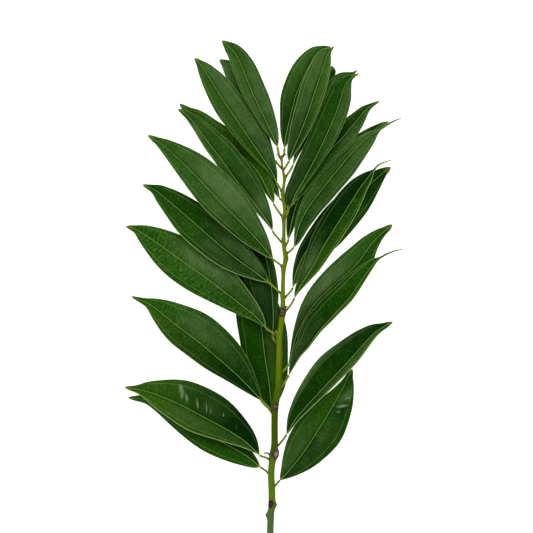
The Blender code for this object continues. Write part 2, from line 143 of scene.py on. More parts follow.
class Solid:
    """A closed skin over rings of points, with numbers kept at each point for its material."""

    def __init__(self, name: str, rings: np.ndarray) -> None:
        """Takes the skin's rings.

        Args:
            name: The piece's name.
            rings: Sections by corners by 3, in plan millimetres.
        """
        self.name = name
        self.rings = rings
        self.numbers: dict[str, np.ndarray] = {}

    def mark(self, name: str, values: np.ndarray) -> None:
        """Keeps numbers or vectors, sections by corners. One number a section serves its ring."""
        if values.ndim == 1:
            values = np.broadcast_to(values[:, None], self.rings.shape[:2])
        self.numbers[name] = values

    def faces(self) -> list[tuple[int, ...]]:
        """The skin's quads, with a cap of quads over each end."""
        count, size, _ = self.rings.shape
        made: list[tuple[int, ...]] = []
        for ring in range(count - 1):
            low, high = ring * size, (ring + 1) * size
            for corner in range(size):
                after = (corner + 1) % size
                made.append((low + corner, low + after, high + after, high + corner))
        last = (count - 1) * size
        for corner in range(size // 2 - 1):
            cap = (corner, corner + 1, size - 2 - corner, size - 1 - corner)
            made.append(cap[::-1])
            made.append(tuple(last + index for index in cap))
        return made

    def build(self, material: bpy.types.Material, sharp_degrees: float = 50.0) -> bpy.types.Object:
        """Makes the object.

        Args:
            material: The finish of the whole piece.
            sharp_degrees: Edges that bend more than this are left sharp.

        Returns:
            The object, linked to the scene, in metres.
        """
        points = self.rings.reshape(-1, 3)
        faces = self.faces()
        corners = points[np.array([face[:3] for face in faces])]
        spin = np.cross(corners[:, 1], corners[:, 2])
        if np.einsum("ij,ij->i", corners[:, 0], spin).sum() < 0:
            faces = [face[::-1] for face in faces]
        centre = np.array([*PLAN_CENTRE, 0.0])
        mesh = bpy.data.meshes.new(self.name)
        mesh.from_pydata(((points - centre) * MM).tolist(), [], faces)
        for name, values in self.numbers.items():
            kind, field = ("FLOAT_VECTOR", "vector") if values.ndim == 3 else ("FLOAT", "value")
            store = mesh.attributes.new(name, kind, "POINT")
            store.data.foreach_set(field, values.astype(np.float32).ravel())
        mesh.validate()
        mesh.shade_smooth()
        mesh.set_sharp_from_angle(angle=np.radians(sharp_degrees))
        mesh.materials.append(material)
        made = bpy.data.objects.new(self.name, mesh)
        bpy.context.scene.collection.objects.link(made)
        return made


class Value:
    """A number that varies over a surface, written as a Python expression."""

    def __init__(self, tree: "Shader", socket: bpy.types.NodeSocket) -> None:
        """Wraps one output of a node."""
        self.tree = tree
        self.socket = socket

    def __add__(self, other: Any) -> "Value":
        """self + other."""
        return self.tree.math("ADD", self, other)

    __radd__ = __add__

    def __sub__(self, other: Any) -> "Value":
        """self - other."""
        return self.tree.math("SUBTRACT", self, other)

    def __rsub__(self, other: Any) -> "Value":
        """other - self."""
        return self.tree.math("SUBTRACT", other, self)

    def __mul__(self, other: Any) -> "Value":
        """self * other."""
        return self.tree.math("MULTIPLY", self, other)

    __rmul__ = __mul__

    def __truediv__(self, other: Any) -> "Value":
        """self / other."""
        return self.tree.math("DIVIDE", self, other)

    def __rtruediv__(self, other: Any) -> "Value":
        """other / self."""
        return self.tree.math("DIVIDE", other, self)

    def __abs__(self) -> "Value":
        """The size of self without its sign."""
        return self.tree.math("ABSOLUTE", self)

    def __mod__(self, other: float) -> "Value":
        """self less the nearest lower multiple of other."""
        return self.tree.math("FLOORED_MODULO", self, other)

    def smaller(self, other: Any) -> "Value":
        """The smaller of self and other."""
        return self.tree.math("MINIMUM", self, other)

    def larger(self, other: Any) -> "Value":
        """The larger of self and other."""
        return self.tree.math("MAXIMUM", self, other)

    def share(self) -> "Value":
        """self, kept between 0 and 1."""
        return self.larger(0.0).smaller(1.0)

    def ramp(self, low: float, high: float) -> "Value":
        """0 where self is low, 1 where it is high, smooth between them. low may be above high."""
        return self.tree.smooth_range(self, low, high, 0.0, 1.0)


class Shader:
    """The nodes of one material, or of the sky."""

    def __init__(self, owner: bpy.types.Material | bpy.types.World) -> None:
        """Takes the material or the world, and empties its node tree."""
        self.owner = owner
        owner.use_nodes = True
        self.tree = owner.node_tree
        self.tree.nodes.clear()

    def node(self, kind: str, settings: dict[str, Any], sockets: dict[Any, Any]) -> bpy.types.Node:
        """Adds one node.

        Args:
            kind: The node's type.
            settings: Its own settings, set before its sockets.
            sockets: What each input takes, by name or number: a Value, a socket or a constant.

        Returns:
            The node.
        """
        made = self.tree.nodes.new(kind)
        for name, setting in settings.items():
            setattr(made, name, setting)
        for name, given in sockets.items():
            source = given.socket if isinstance(given, Value) else given
            if isinstance(source, bpy.types.NodeSocket):
                self.tree.links.new(source, made.inputs[name])
            else:
                made.inputs[name].default_value = source
        return made

    def value(self, kind: str, settings: dict[str, Any], sockets: dict[Any, Any], out: Any = 0) -> Value:
        """Adds one node and gives one of its outputs as a Value."""
        return Value(self, self.node(kind, settings, sockets).outputs[out])

    def math(self, operation: str, *values: Any) -> Value:
        """Adds one Math node."""
        return self.value("ShaderNodeMath", {"operation": operation}, dict(enumerate(values)))

    def smooth_range(self, value: Value, low: float, high: float, at_low: float, at_high: float) -> Value:
        """at_low where value is low, at_high where it is high, and smooth between them."""
        settings = {"interpolation_type": "SMOOTHSTEP"}
        sockets = dict(enumerate((value, low, high, at_low, at_high)))
        return self.value("ShaderNodeMapRange", settings, sockets)

    def number(self, name: str) -> Value:
        """A number that the mesh keeps at each point."""
        return self.value("ShaderNodeAttribute", {"attribute_name": name}, {}, "Fac")

    def vector(self, name: str) -> bpy.types.NodeSocket:
        """A vector that the mesh keeps at each point."""
        return self.node("ShaderNodeAttribute", {"attribute_name": name}, {}).outputs["Vector"]

    def place(self, kind: str) -> bpy.types.NodeSocket:
        """The texture coordinates of that kind."""
        return self.node("ShaderNodeTexCoord", {}, {}).outputs[kind]

    def parts(self, vector: bpy.types.NodeSocket) -> tuple[Value, Value, Value]:
        """A vector's three numbers."""
        split = self.node("ShaderNodeSeparateXYZ", {}, {0: vector})
        return Value(self, split.outputs[0]), Value(self, split.outputs[1]), Value(self, split.outputs[2])

    def joined(self, x: Any, y: Any, z: Any) -> bpy.types.NodeSocket:
        """One vector from three numbers."""
        return self.node("ShaderNodeCombineXYZ", {}, {0: x, 1: y, 2: z}).outputs[0]

    def noise(self, vector: bpy.types.NodeSocket, scale: float, detail: float = 2.0) -> Value:
        """Smooth noise between 0 and 1."""
        return self.value("ShaderNodeTexNoise", {}, {"Vector": vector, "Scale": scale, "Detail": detail})

    def blend(self, amount: Any, low: Any, high: Any) -> bpy.types.NodeSocket:
        """A colour that goes from low to high as amount goes from 0 to 1."""
        sockets = {0: amount, 6: opaque(low), 7: opaque(high)}
        return self.node("ShaderNodeMix", {"data_type": "RGBA"}, sockets).outputs[2]

    def bump(self, height: Value, millimetres: float, strength: float) -> bpy.types.NodeSocket:
        """A surface normal bent by a height, where a height of 1 stands that many mm high."""
        sockets = {"Height": height, "Distance": millimetres * MM, "Strength": strength}
        return self.node("ShaderNodeBump", {}, sockets).outputs[0]

    def finish(
        self, colour: Any, roughness: Any, normal: Any = None, **constants: Any
    ) -> bpy.types.Material:
        """Closes the material with a Principled surface.

        Args:
            colour: The base colour.
            roughness: The roughness.
            normal: A bent normal, if there is one.
            constants: Other inputs that are the same all over, with _ for each space.

        Returns:
            The material.
        """
        sockets: dict[Any, Any] = {"Base Color": opaque(colour), "Roughness": roughness}
        if normal is not None:
            sockets["Normal"] = normal
        for name, constant in constants.items():
            sockets[name.replace("_", " ")] = constant
        surface = self.node("ShaderNodeBsdfPrincipled", {}, sockets)
        self.node("ShaderNodeOutputMaterial", {}, {0: surface.outputs[0]})
        return self.owner


def opaque(colour: Any) -> Any:
    """Three numbers as a colour with full alpha, and a socket as it is."""
    return (*colour, 1.0) if isinstance(colour, tuple) else colour


@dataclass(frozen=True)
class LeafFinish:
    """The waxy skin of a leaf and the green of its stalk.

    The edges say over which distances a line fades in: millimetres, but shares of a net cell for
    net_edge and of the rim's own width for rim_edge. Each noise is a scale per millimetre and a
    detail. The darkest green, the grey sheen, the pale margin and the glint on wet smears are
    painted shade, painted reflection, painted highlight and painted glint in the skin's colour.
    """

    # The darkest green is painted shade: the blade's green where it lies in shade.
    shade_green: Triple = (0.0005, 0.0200, 0.0003)
    fresh: Triple = (0.0125, 0.0780, 0.0004)
    # This yellow green is partly that of thin new skin and partly painted light on parts in shade.
    sunny: Triple = (0.052, 0.125, 0.003)
    # This grey green is a painted sheen: the reflection of the soft lights on the waxy skin.
    painted_sheen: Triple = (0.095, 0.173, 0.053)
    vein: Triple = (0.120, 0.260, 0.040)
    nerve: Triple = (0.200, 0.360, 0.075)
    # This pale green is a painted highlight along the margins.
    margin: Triple = (0.230, 0.375, 0.110)
    tip: Triple = (0.160, 0.210, 0.035)
    under: Triple = (0.085, 0.150, 0.045)
    stalk: Triple = (0.215, 0.285, 0.022)
    heel: Triple = (0.120, 0.120, 0.014)
    # This pale colour is a painted glint: the reflection of light on wet smears.
    water_glint: Triple = (0.200, 0.285, 0.160)
    vein_gap_mm: float = 4.0
    vein_lean: float = 0.38
    net_mm: float = 2.9
    ribbing_mm: float = 1.9
    vein_edge: Pair = (0.28, 0.10)
    net_edge: Pair = (0.052, 0.014)
    ribbing_edge: Pair = (0.62, 0.20)
    midrib_edge: Pair = (0.44, 0.14)
    groove_edge: Pair = (1.8, 0.5)
    nerve_edge: Pair = (0.40, 0.12)
    rim_edge: Pair = (1.0, 0.4)
    drift_noise: Pair = (0.16, 1.0)
    wander_noise: Pair = (0.60, 1.0)
    break_noise: Pair = (0.30, 1.0)
    mottle_noise: Pair = (0.09, 3.0)
    grain_noise: Pair = (0.9, 2.0)
    drift_mm: float = 4.0
    wander_mm: float = 1.7
    fade_widths: Pair = (2.0, 6.0)
    tip_share: float = 0.94
    relief_mm: float = 0.12
    roughness: float = 0.33
    shine: float = 0.02

    def veins(self, shader: Shader, across: Value, along: Value) -> tuple[Value, Value, Value]:
        """The cross veins between the nerves, the net between them, and the fine ribbing.

        Args:
            shader: The material being made.
            across: Millimetres from the midrib, with a sign.
            along: Millimetres from the blade's base.

        Returns:
            How strong the cross veins, the net and the ribbing are, each 0 to 1.
        """
        place = shader.joined(across, along, 0.0)
        drift = shader.noise(place, *self.drift_noise) - 0.5
        wander = shader.noise(place, *self.wander_noise) - 0.5
        bend = abs(across) * (self.vein_lean + drift * 1.2)
        level = along - bend + drift * self.drift_mm + wander * self.wander_mm
        off = abs((level / self.vein_gap_mm) % 1.0 - 0.5) * self.vein_gap_mm
        broken = shader.noise(place, *self.break_noise).ramp(0.38, 0.58)
        lines = off.ramp(*self.vein_edge) * broken
        warped = shader.joined(across * 0.62 + wander * 0.9, along - bend * 0.8 + drift + wander * 0.5, 0.0)
        cells = shader.value(
            "ShaderNodeTexVoronoi",
            {"feature": "DISTANCE_TO_EDGE"},
            {"Vector": warped, "Scale": 1.0 / self.net_mm},
        )
        ladder = (along - bend + drift * 2.0) / self.ribbing_mm
        rib = abs(ladder % 1.0 - 0.5) * self.ribbing_mm
        return lines, cells.ramp(*self.net_edge), rib.ramp(*self.ribbing_edge)

    def material(self) -> bpy.types.Material:
        """Makes the finish. It reads the numbers that each leaf's mesh keeps."""
        shader = Shader(bpy.data.materials.new("leaf_skin"))
        across, along, half = shader.parts(shader.vector("place"))
        length_share, nerve_at, edge_light = shader.parts(shader.vector("plan"))
        tone, painted_sheen, sun = shader.parts(shader.vector("looks"))
        stalk, under = shader.number("stalk"), shader.number("under")
        on_stalk = stalk.smaller(1.0)
        place = shader.joined(across, along, 0.0)

        # Lines: veins, net and ribbing fade out where the blade is narrow.
        fade = half.ramp(*self.fade_widths)
        lines, net, ribbing = (strength * fade for strength in self.veins(shader, across, along))
        midrib = abs(across).ramp(*self.midrib_edge) * (1.0 - on_stalk)
        groove = abs(across).ramp(*self.groove_edge) * fade
        lateral = abs(abs(across) - half * nerve_at).ramp(*self.nerve_edge)
        lateral = lateral * length_share.ramp(0.98, 0.80) * half.ramp(1.5, 4.0)
        # A painted highlight along the margin, as strong and as wide as each half asks.
        rim = (half - abs(across)) / (0.4 + edge_light * 0.5)
        edge = rim.ramp(*self.rim_edge) * edge_light.smaller(1.0)

        # The blade between the lines: its green with painted shade, the painted light of the sun on it and
        # its painted sheen.
        mottle = shader.noise(place, *self.mottle_noise).ramp(0.30, 0.70)
        grain = shader.noise(place, *self.grain_noise)
        # Real mottle and grain, and painted shade darkening the blade along the midrib's groove.
        fresh = tone + (mottle - 0.5) * 0.25 + (grain - 0.5) * 0.20 - groove * 0.25
        fresh = fresh.share()
        lamina = shader.blend(fresh, self.shade_green, self.fresh)
        lamina = shader.blend((sun * (0.75 + grain * 0.5)).smaller(1.0), lamina, self.sunny)
        # The painted sheen of the lights on the wax, fainter in the midrib's groove where it is shaded.
        painted_sheen_mask = painted_sheen * (0.52 + ribbing * 0.48 + (mottle - 0.5) * 0.30 + (grain - 0.5) * 0.5 - groove * 0.25)
        lamina = shader.blend(painted_sheen_mask.share(), lamina, self.painted_sheen)

        # The lines over it, then the margin's painted highlight, the tip, the painted glint of wet smears
        # and the underside.
        seen = (fresh * 0.85 + 0.15) * (1.0 - painted_sheen * 0.25)
        veins = (lines * 0.50).larger(net * (0.10 + grain * 0.36)) * seen * shader.number("veined")
        lamina = shader.blend(veins.smaller(1.0), lamina, self.vein)
        lamina = shader.blend(lateral * (0.20 + seen * 0.30), lamina, self.nerve)
        lamina = shader.blend(midrib * (1.0 - length_share * 0.35), lamina, self.nerve)
        lamina = shader.blend(edge, lamina, self.margin)
        lamina = shader.blend(length_share.ramp(self.tip_share, 1.0) * 0.8, lamina, self.tip)
        # Wet smears are smoother, and their pale colour is a painted glint.
        wet = (shader.number("wet") + (grain - 0.5) * 0.7).ramp(0.30, 0.85)
        lamina = shader.blend(wet * 0.80, lamina, self.water_glint)
        back = shader.blend((veins * 0.4 + lateral + midrib).smaller(1.0), self.under, self.nerve)
        petiole = shader.blend(stalk.ramp(1.55, 1.95), self.stalk, self.heel)
        skin = shader.blend(on_stalk, shader.blend(under, lamina, back), petiole)

        height = (1.0 - lines * 0.5 - net * 0.4 - ribbing * 0.2) + grain * 0.25
        normal = shader.bump(height * (1.0 - on_stalk), self.relief_mm, 0.8)
        roughness = self.roughness + (grain - 0.5) * 0.12 - midrib * 0.06 + under * 0.2 - wet * 0.10
        return shader.finish(skin, roughness, normal, Specular_IOR_Level=self.shine)


@dataclass(frozen=True)
class BarkFinish:
    """The smooth young bark of the twig, greyer towards its cut end, and its cut face.

    The bark goes from cut_end to low, middle and upper. Each from is the stretch of the twig, in
    millimetres from its cut end, over which the next colour comes in. flank is painted shade on the
    twig's sides, underside and right side, and also the bark's own darker streaks. Each noise is a
    scale and a detail.
    """

    cut_end: Triple = (0.092, 0.170, 0.046)
    low: Triple = (0.112, 0.212, 0.007)
    middle: Triple = (0.056, 0.112, 0.0003)
    upper: Triple = (0.162, 0.246, 0.001)
    shade_and_streak_green: Triple = (0.035, 0.082, 0.001)
    brown: Triple = (0.085, 0.055, 0.015)
    speck: Triple = (0.240, 0.230, 0.110)
    pith: Triple = (0.420, 0.440, 0.230)
    wood: Triple = (0.260, 0.300, 0.120)
    low_from: Pair = (31.0, 34.0)
    middle_from: Pair = (74.0, 84.0)
    upper_from: Pair = (116.0, 178.0)
    streak_noise: Pair = (1.0, 3.0)
    fleck_noise: Pair = (0.8, 1.0)
    drift_noise: Pair = (1.0, 2.0)
    grey_noise: Pair = (1.0, 2.0)
    crack_noise: Pair = (6.0, 3.0)
    relief_mm: float = 0.25
    roughness: float = 0.45
    shine: float = 0.03

    def material(self) -> bpy.types.Material:
        """Makes the finish. It reads the numbers that the twig's mesh keeps."""
        shader = Shader(bpy.data.materials.new("twig_bark"))
        turn, along, up = shader.parts(shader.vector("place"))
        scar = shader.number("scar")
        place = shader.joined(turn * 9.0, along * 0.12, 0.0)
        streak = shader.noise(place, *self.streak_noise)
        fleck = shader.noise(shader.joined(turn * 14.0, along * 1.6, 0.0), *self.fleck_noise)
        drift = shader.noise(shader.joined(turn, along * 0.05, 4.0), *self.drift_noise) - 0.5
        bark = shader.blend((along + drift * 4.0).ramp(*self.low_from), self.cut_end, self.low)
        bark = shader.blend((along + drift * 8.0).ramp(*self.middle_from), bark, self.middle)
        bark = shader.blend((along + drift * 16.0).ramp(*self.upper_from), bark, self.upper)
        # Darker on the flanks, the underside and the right side: painted shade.
        bark = shader.blend(up.ramp(0.85, -0.30) * 0.75, bark, self.shade_and_streak_green)
        bark = shader.blend(turn.ramp(1.6, 0.3) * 0.35, bark, self.shade_and_streak_green)
        bark = shader.blend(streak.ramp(0.50, 0.75) * 0.30, bark, self.shade_and_streak_green)
        bark = shader.blend(fleck.ramp(0.66, 0.74) * 0.25, bark, self.speck)
        bark = shader.blend((scar * (0.45 + streak * 0.9)).smaller(1.0), bark, self.brown)
        grey = shader.noise(shader.joined(turn * 20.0, along * 2.2, 0.0), *self.grey_noise)
        bark = shader.blend(scar * grey.ramp(0.5, 0.66) * 0.6, bark, self.speck)
        end = shader.blend(shader.number("cut").ramp(0.25, 0.45), self.pith, self.wood)
        bark = shader.blend(shader.number("face"), bark, end)
        cracks = scar * shader.noise(place, *self.crack_noise)
        relief = streak * 0.6 + fleck.ramp(0.62, 0.74) * 0.5 + cracks
        normal = shader.bump(relief, self.relief_mm, 0.7)
        return shader.finish(bark, self.roughness + streak * 0.1, normal, Specular_IOR_Level=self.shine)


@dataclass(frozen=True)
class BudFinish:
    """The dry skin of the buds and stubs."""

    skin: Triple
    edge: Triple
    grain_noise: Pair = (900.0, 3.0)
    roughness: float = 0.7
    shine: float = 0.3
    relief_mm: float = 0.2

    def material(self, name: str) -> bpy.types.Material:
        """Makes the finish under that name."""
        shader = Shader(bpy.data.materials.new(name))
        grain = shader.noise(shader.place("Object"), *self.grain_noise)
        skin = shader.blend(grain.ramp(0.35, 0.65), self.skin, self.edge)
        normal = shader.bump(grain, self.relief_mm, 0.8)
        return shader.finish(skin, self.roughness, normal, Specular_IOR_Level=self.shine)


@dataclass(frozen=True)
class ScarFinish:
    """The corky skin of an old scar: a dark lip and a paler, mottled middle."""

    middle: Triple
    speck: Triple
    lip: Triple = (0.030, 0.020, 0.010)
    skirt: Triple = (0.090, 0.100, 0.014)
    grain_noise: Pair = (700.0, 3.0)
    coarse_noise: Pair = (320.0, 1.0)
    roughness: float = 0.75
    shine: float = 0.25
    relief_mm: float = 0.3

    def material(self, name: str) -> bpy.types.Material:
        """Makes the finish under that name. It reads how far each point is from the middle."""
        shader = Shader(bpy.data.materials.new(name))
        place = shader.place("Object")
        grain = shader.noise(place, *self.grain_noise)
        coarse = shader.noise(place, *self.coarse_noise)
        far = shader.number("rim") + (coarse - 0.5) * 0.35
        skin = shader.blend(grain.ramp(0.45, 0.62), self.middle, self.speck)
        skin = shader.blend(far.ramp(0.42, 0.62) * 0.9, skin, self.lip)
        skin = shader.blend(far.ramp(0.86, 1.0), skin, self.skirt)
        normal = shader.bump(grain + coarse, self.relief_mm, 0.9)
        return shader.finish(skin, self.roughness, normal, Specular_IOR_Level=self.shine)


@dataclass(frozen=True)
class LeafShape:
    """One leaf, as seen from above, close to its solid.

    stem_y and stem_angle say where its stalk leaves the stem: 180 is the stem's left side, 0 its
    right side and 270 its underside. line is the midrib from the blade's base to its tip. wide is
    the greatest half-width left and right of it, and peak is where along the blade that is. full
    and blunt shape each half below and above its peak: the smaller, the rounder. height is the
    midrib's height at the base, the middle and the tip. slope is the rise of each half towards its
    margin.
    """

    name: str
    stem_y: float
    stem_angle: float
    line: tuple[Pair, ...]
    wide: Pair
    peak: Pair
    full: Pair
    blunt: Pair
    height: Triple
    slope: Pair


@dataclass(frozen=True)
class Patch:
    """A smooth spot on a blade: its place and half-sizes in shares, and what it adds.

    along and across are its middle, long and wide its half-sizes, and lean how far along it moves
    for each share across. bloom, painted sheen, and tone, the green that goes into painted shade
    where it is lowered, are added at its middle.
    """

    along: float
    across: float
    long: float
    wide: float
    painted_sheen: float = 0.0
    tone: float = 0.0
    lean: float = 0.0

    def field(self, along: np.ndarray, across: np.ndarray) -> np.ndarray:
        """How strong the spot is over the blade, from 1 at its middle to 0 well outside it."""
        off = across - self.across
        ahead = along - self.along - self.lean * off
        return np.exp(-1.2 * ((ahead / self.long) ** 2 + (off / self.wide) ** 2))


@dataclass(frozen=True)
class Half:
    """How one half of a blade is coloured, each pair for its base and its tip.

    tone goes from painted shade, the darkest green of the blade where it lies in shade, to fresh
    green, and carries the skin's own darker and fresher greens too. bloom is the grey painted sheen
    that stands for the lights' reflection on the waxy skin, and sun is partly the yellow green of
    thin new skin and partly painted light on parts in shade. nerve is where the side nerve lies, as
    a share of the half-width. edge is how bright and how wide the painted highlight on the margin
    is.
    """

    tone: Pair = (0.4, 0.7)
    painted_sheen: Pair = (0.3, 0.3)
    sun: Pair = (0.0, 0.0)
    nerve: float = 0.76
    edge: float = 0.5


@dataclass(frozen=True)
class LeafLook:
    """How one leaf is coloured and how it ends: its two halves, its spots and its tip.

    veins is how clearly the veins show. drip is the length in millimetres of the hollow curve to
    the tip, tail that of the thread beyond it and point the half-width where the tip starts. stalk
    is how thick the stalk is beside the others. patches are spots of painted sheen or painted shade,
    and wet ones are damp smears, whose pale colour is a painted glint.
    """

    left: Half = Half()
    right: Half = Half()
    veins: float = 1.0
    drip: float = 7.0
    tail: float = 0.0
    point: float = 2.6
    stalk: float = 1.15
    patches: tuple[Patch, ...] = ()
    wet: tuple[Patch, ...] = ()

    def half(self, side: int) -> Half:
        """The look of the left half, 0, or the right half, 1."""
        return self.right if side else self.left


# The twig's middle line, close to that of the stem's solid: x, y, z and radius.
TWIG_LINE: tuple[tuple[float, float, float, float], ...] = (
    (0.1, 0.1, 3.05, 2.9),
    (0.2, 10.0, 3.8, 2.95),
    (0.7, 26.0, 5.4, 2.95),
    (1.6, 35.5, 6.4, 3.05),
    (1.7, 47.8, 7.6, 3.05),
    (1.1, 62.8, 8.7, 2.95),
    (2.0, 74.0, 9.5, 3.0),
    (3.3, 82.0, 10.1, 3.2),
    (4.2, 90.0, 10.5, 3.0),
    (4.2, 103.0, 11.3, 2.95),
    (4.3, 118.0, 12.1, 3.0),
    (4.9, 126.5, 12.6, 3.15),
    (6.2, 134.0, 13.0, 3.0),
    (7.4, 142.5, 13.4, 2.9),
    (7.8, 157.0, 14.0, 2.75),
    (8.2, 176.0, 14.7, 2.6),
    (8.5, 187.0, 15.1, 2.55),
    (10.5, 202.0, 15.6, 2.55),
    (11.6, 209.2, 15.8, 2.75),
    (11.7, 217.0, 16.0, 2.15),
    (11.6, 229.0, 16.3, 1.85),
    (11.9, 240.0, 16.6, 1.7),
    (12.4, 248.0, 16.8, 1.95),
    (14.0, 257.0, 17.0, 2.0),
    (12.9, 265.0, 17.1, 1.85),
    (12.4, 273.0, 17.2, 1.6),
    (12.4, 284.0, 17.4, 1.5),
    (12.5, 293.0, 17.5, 1.75),
    (13.2, 300.0, 17.6, 1.5),
    (12.1, 309.0, 17.7, 1.35),
    (11.5, 316.0, 17.8, 1.5),
    (12.3, 322.0, 17.9, 1.15),
    (12.9, 330.0, 18.0, 1.3),
    (11.4, 337.5, 18.0, 0.95),
    (10.6, 344.0, 18.0, 0.95),
    (10.5, 348.0, 18.0, 1.2),
    (10.8, 350.3, 18.0, 0.8),
)

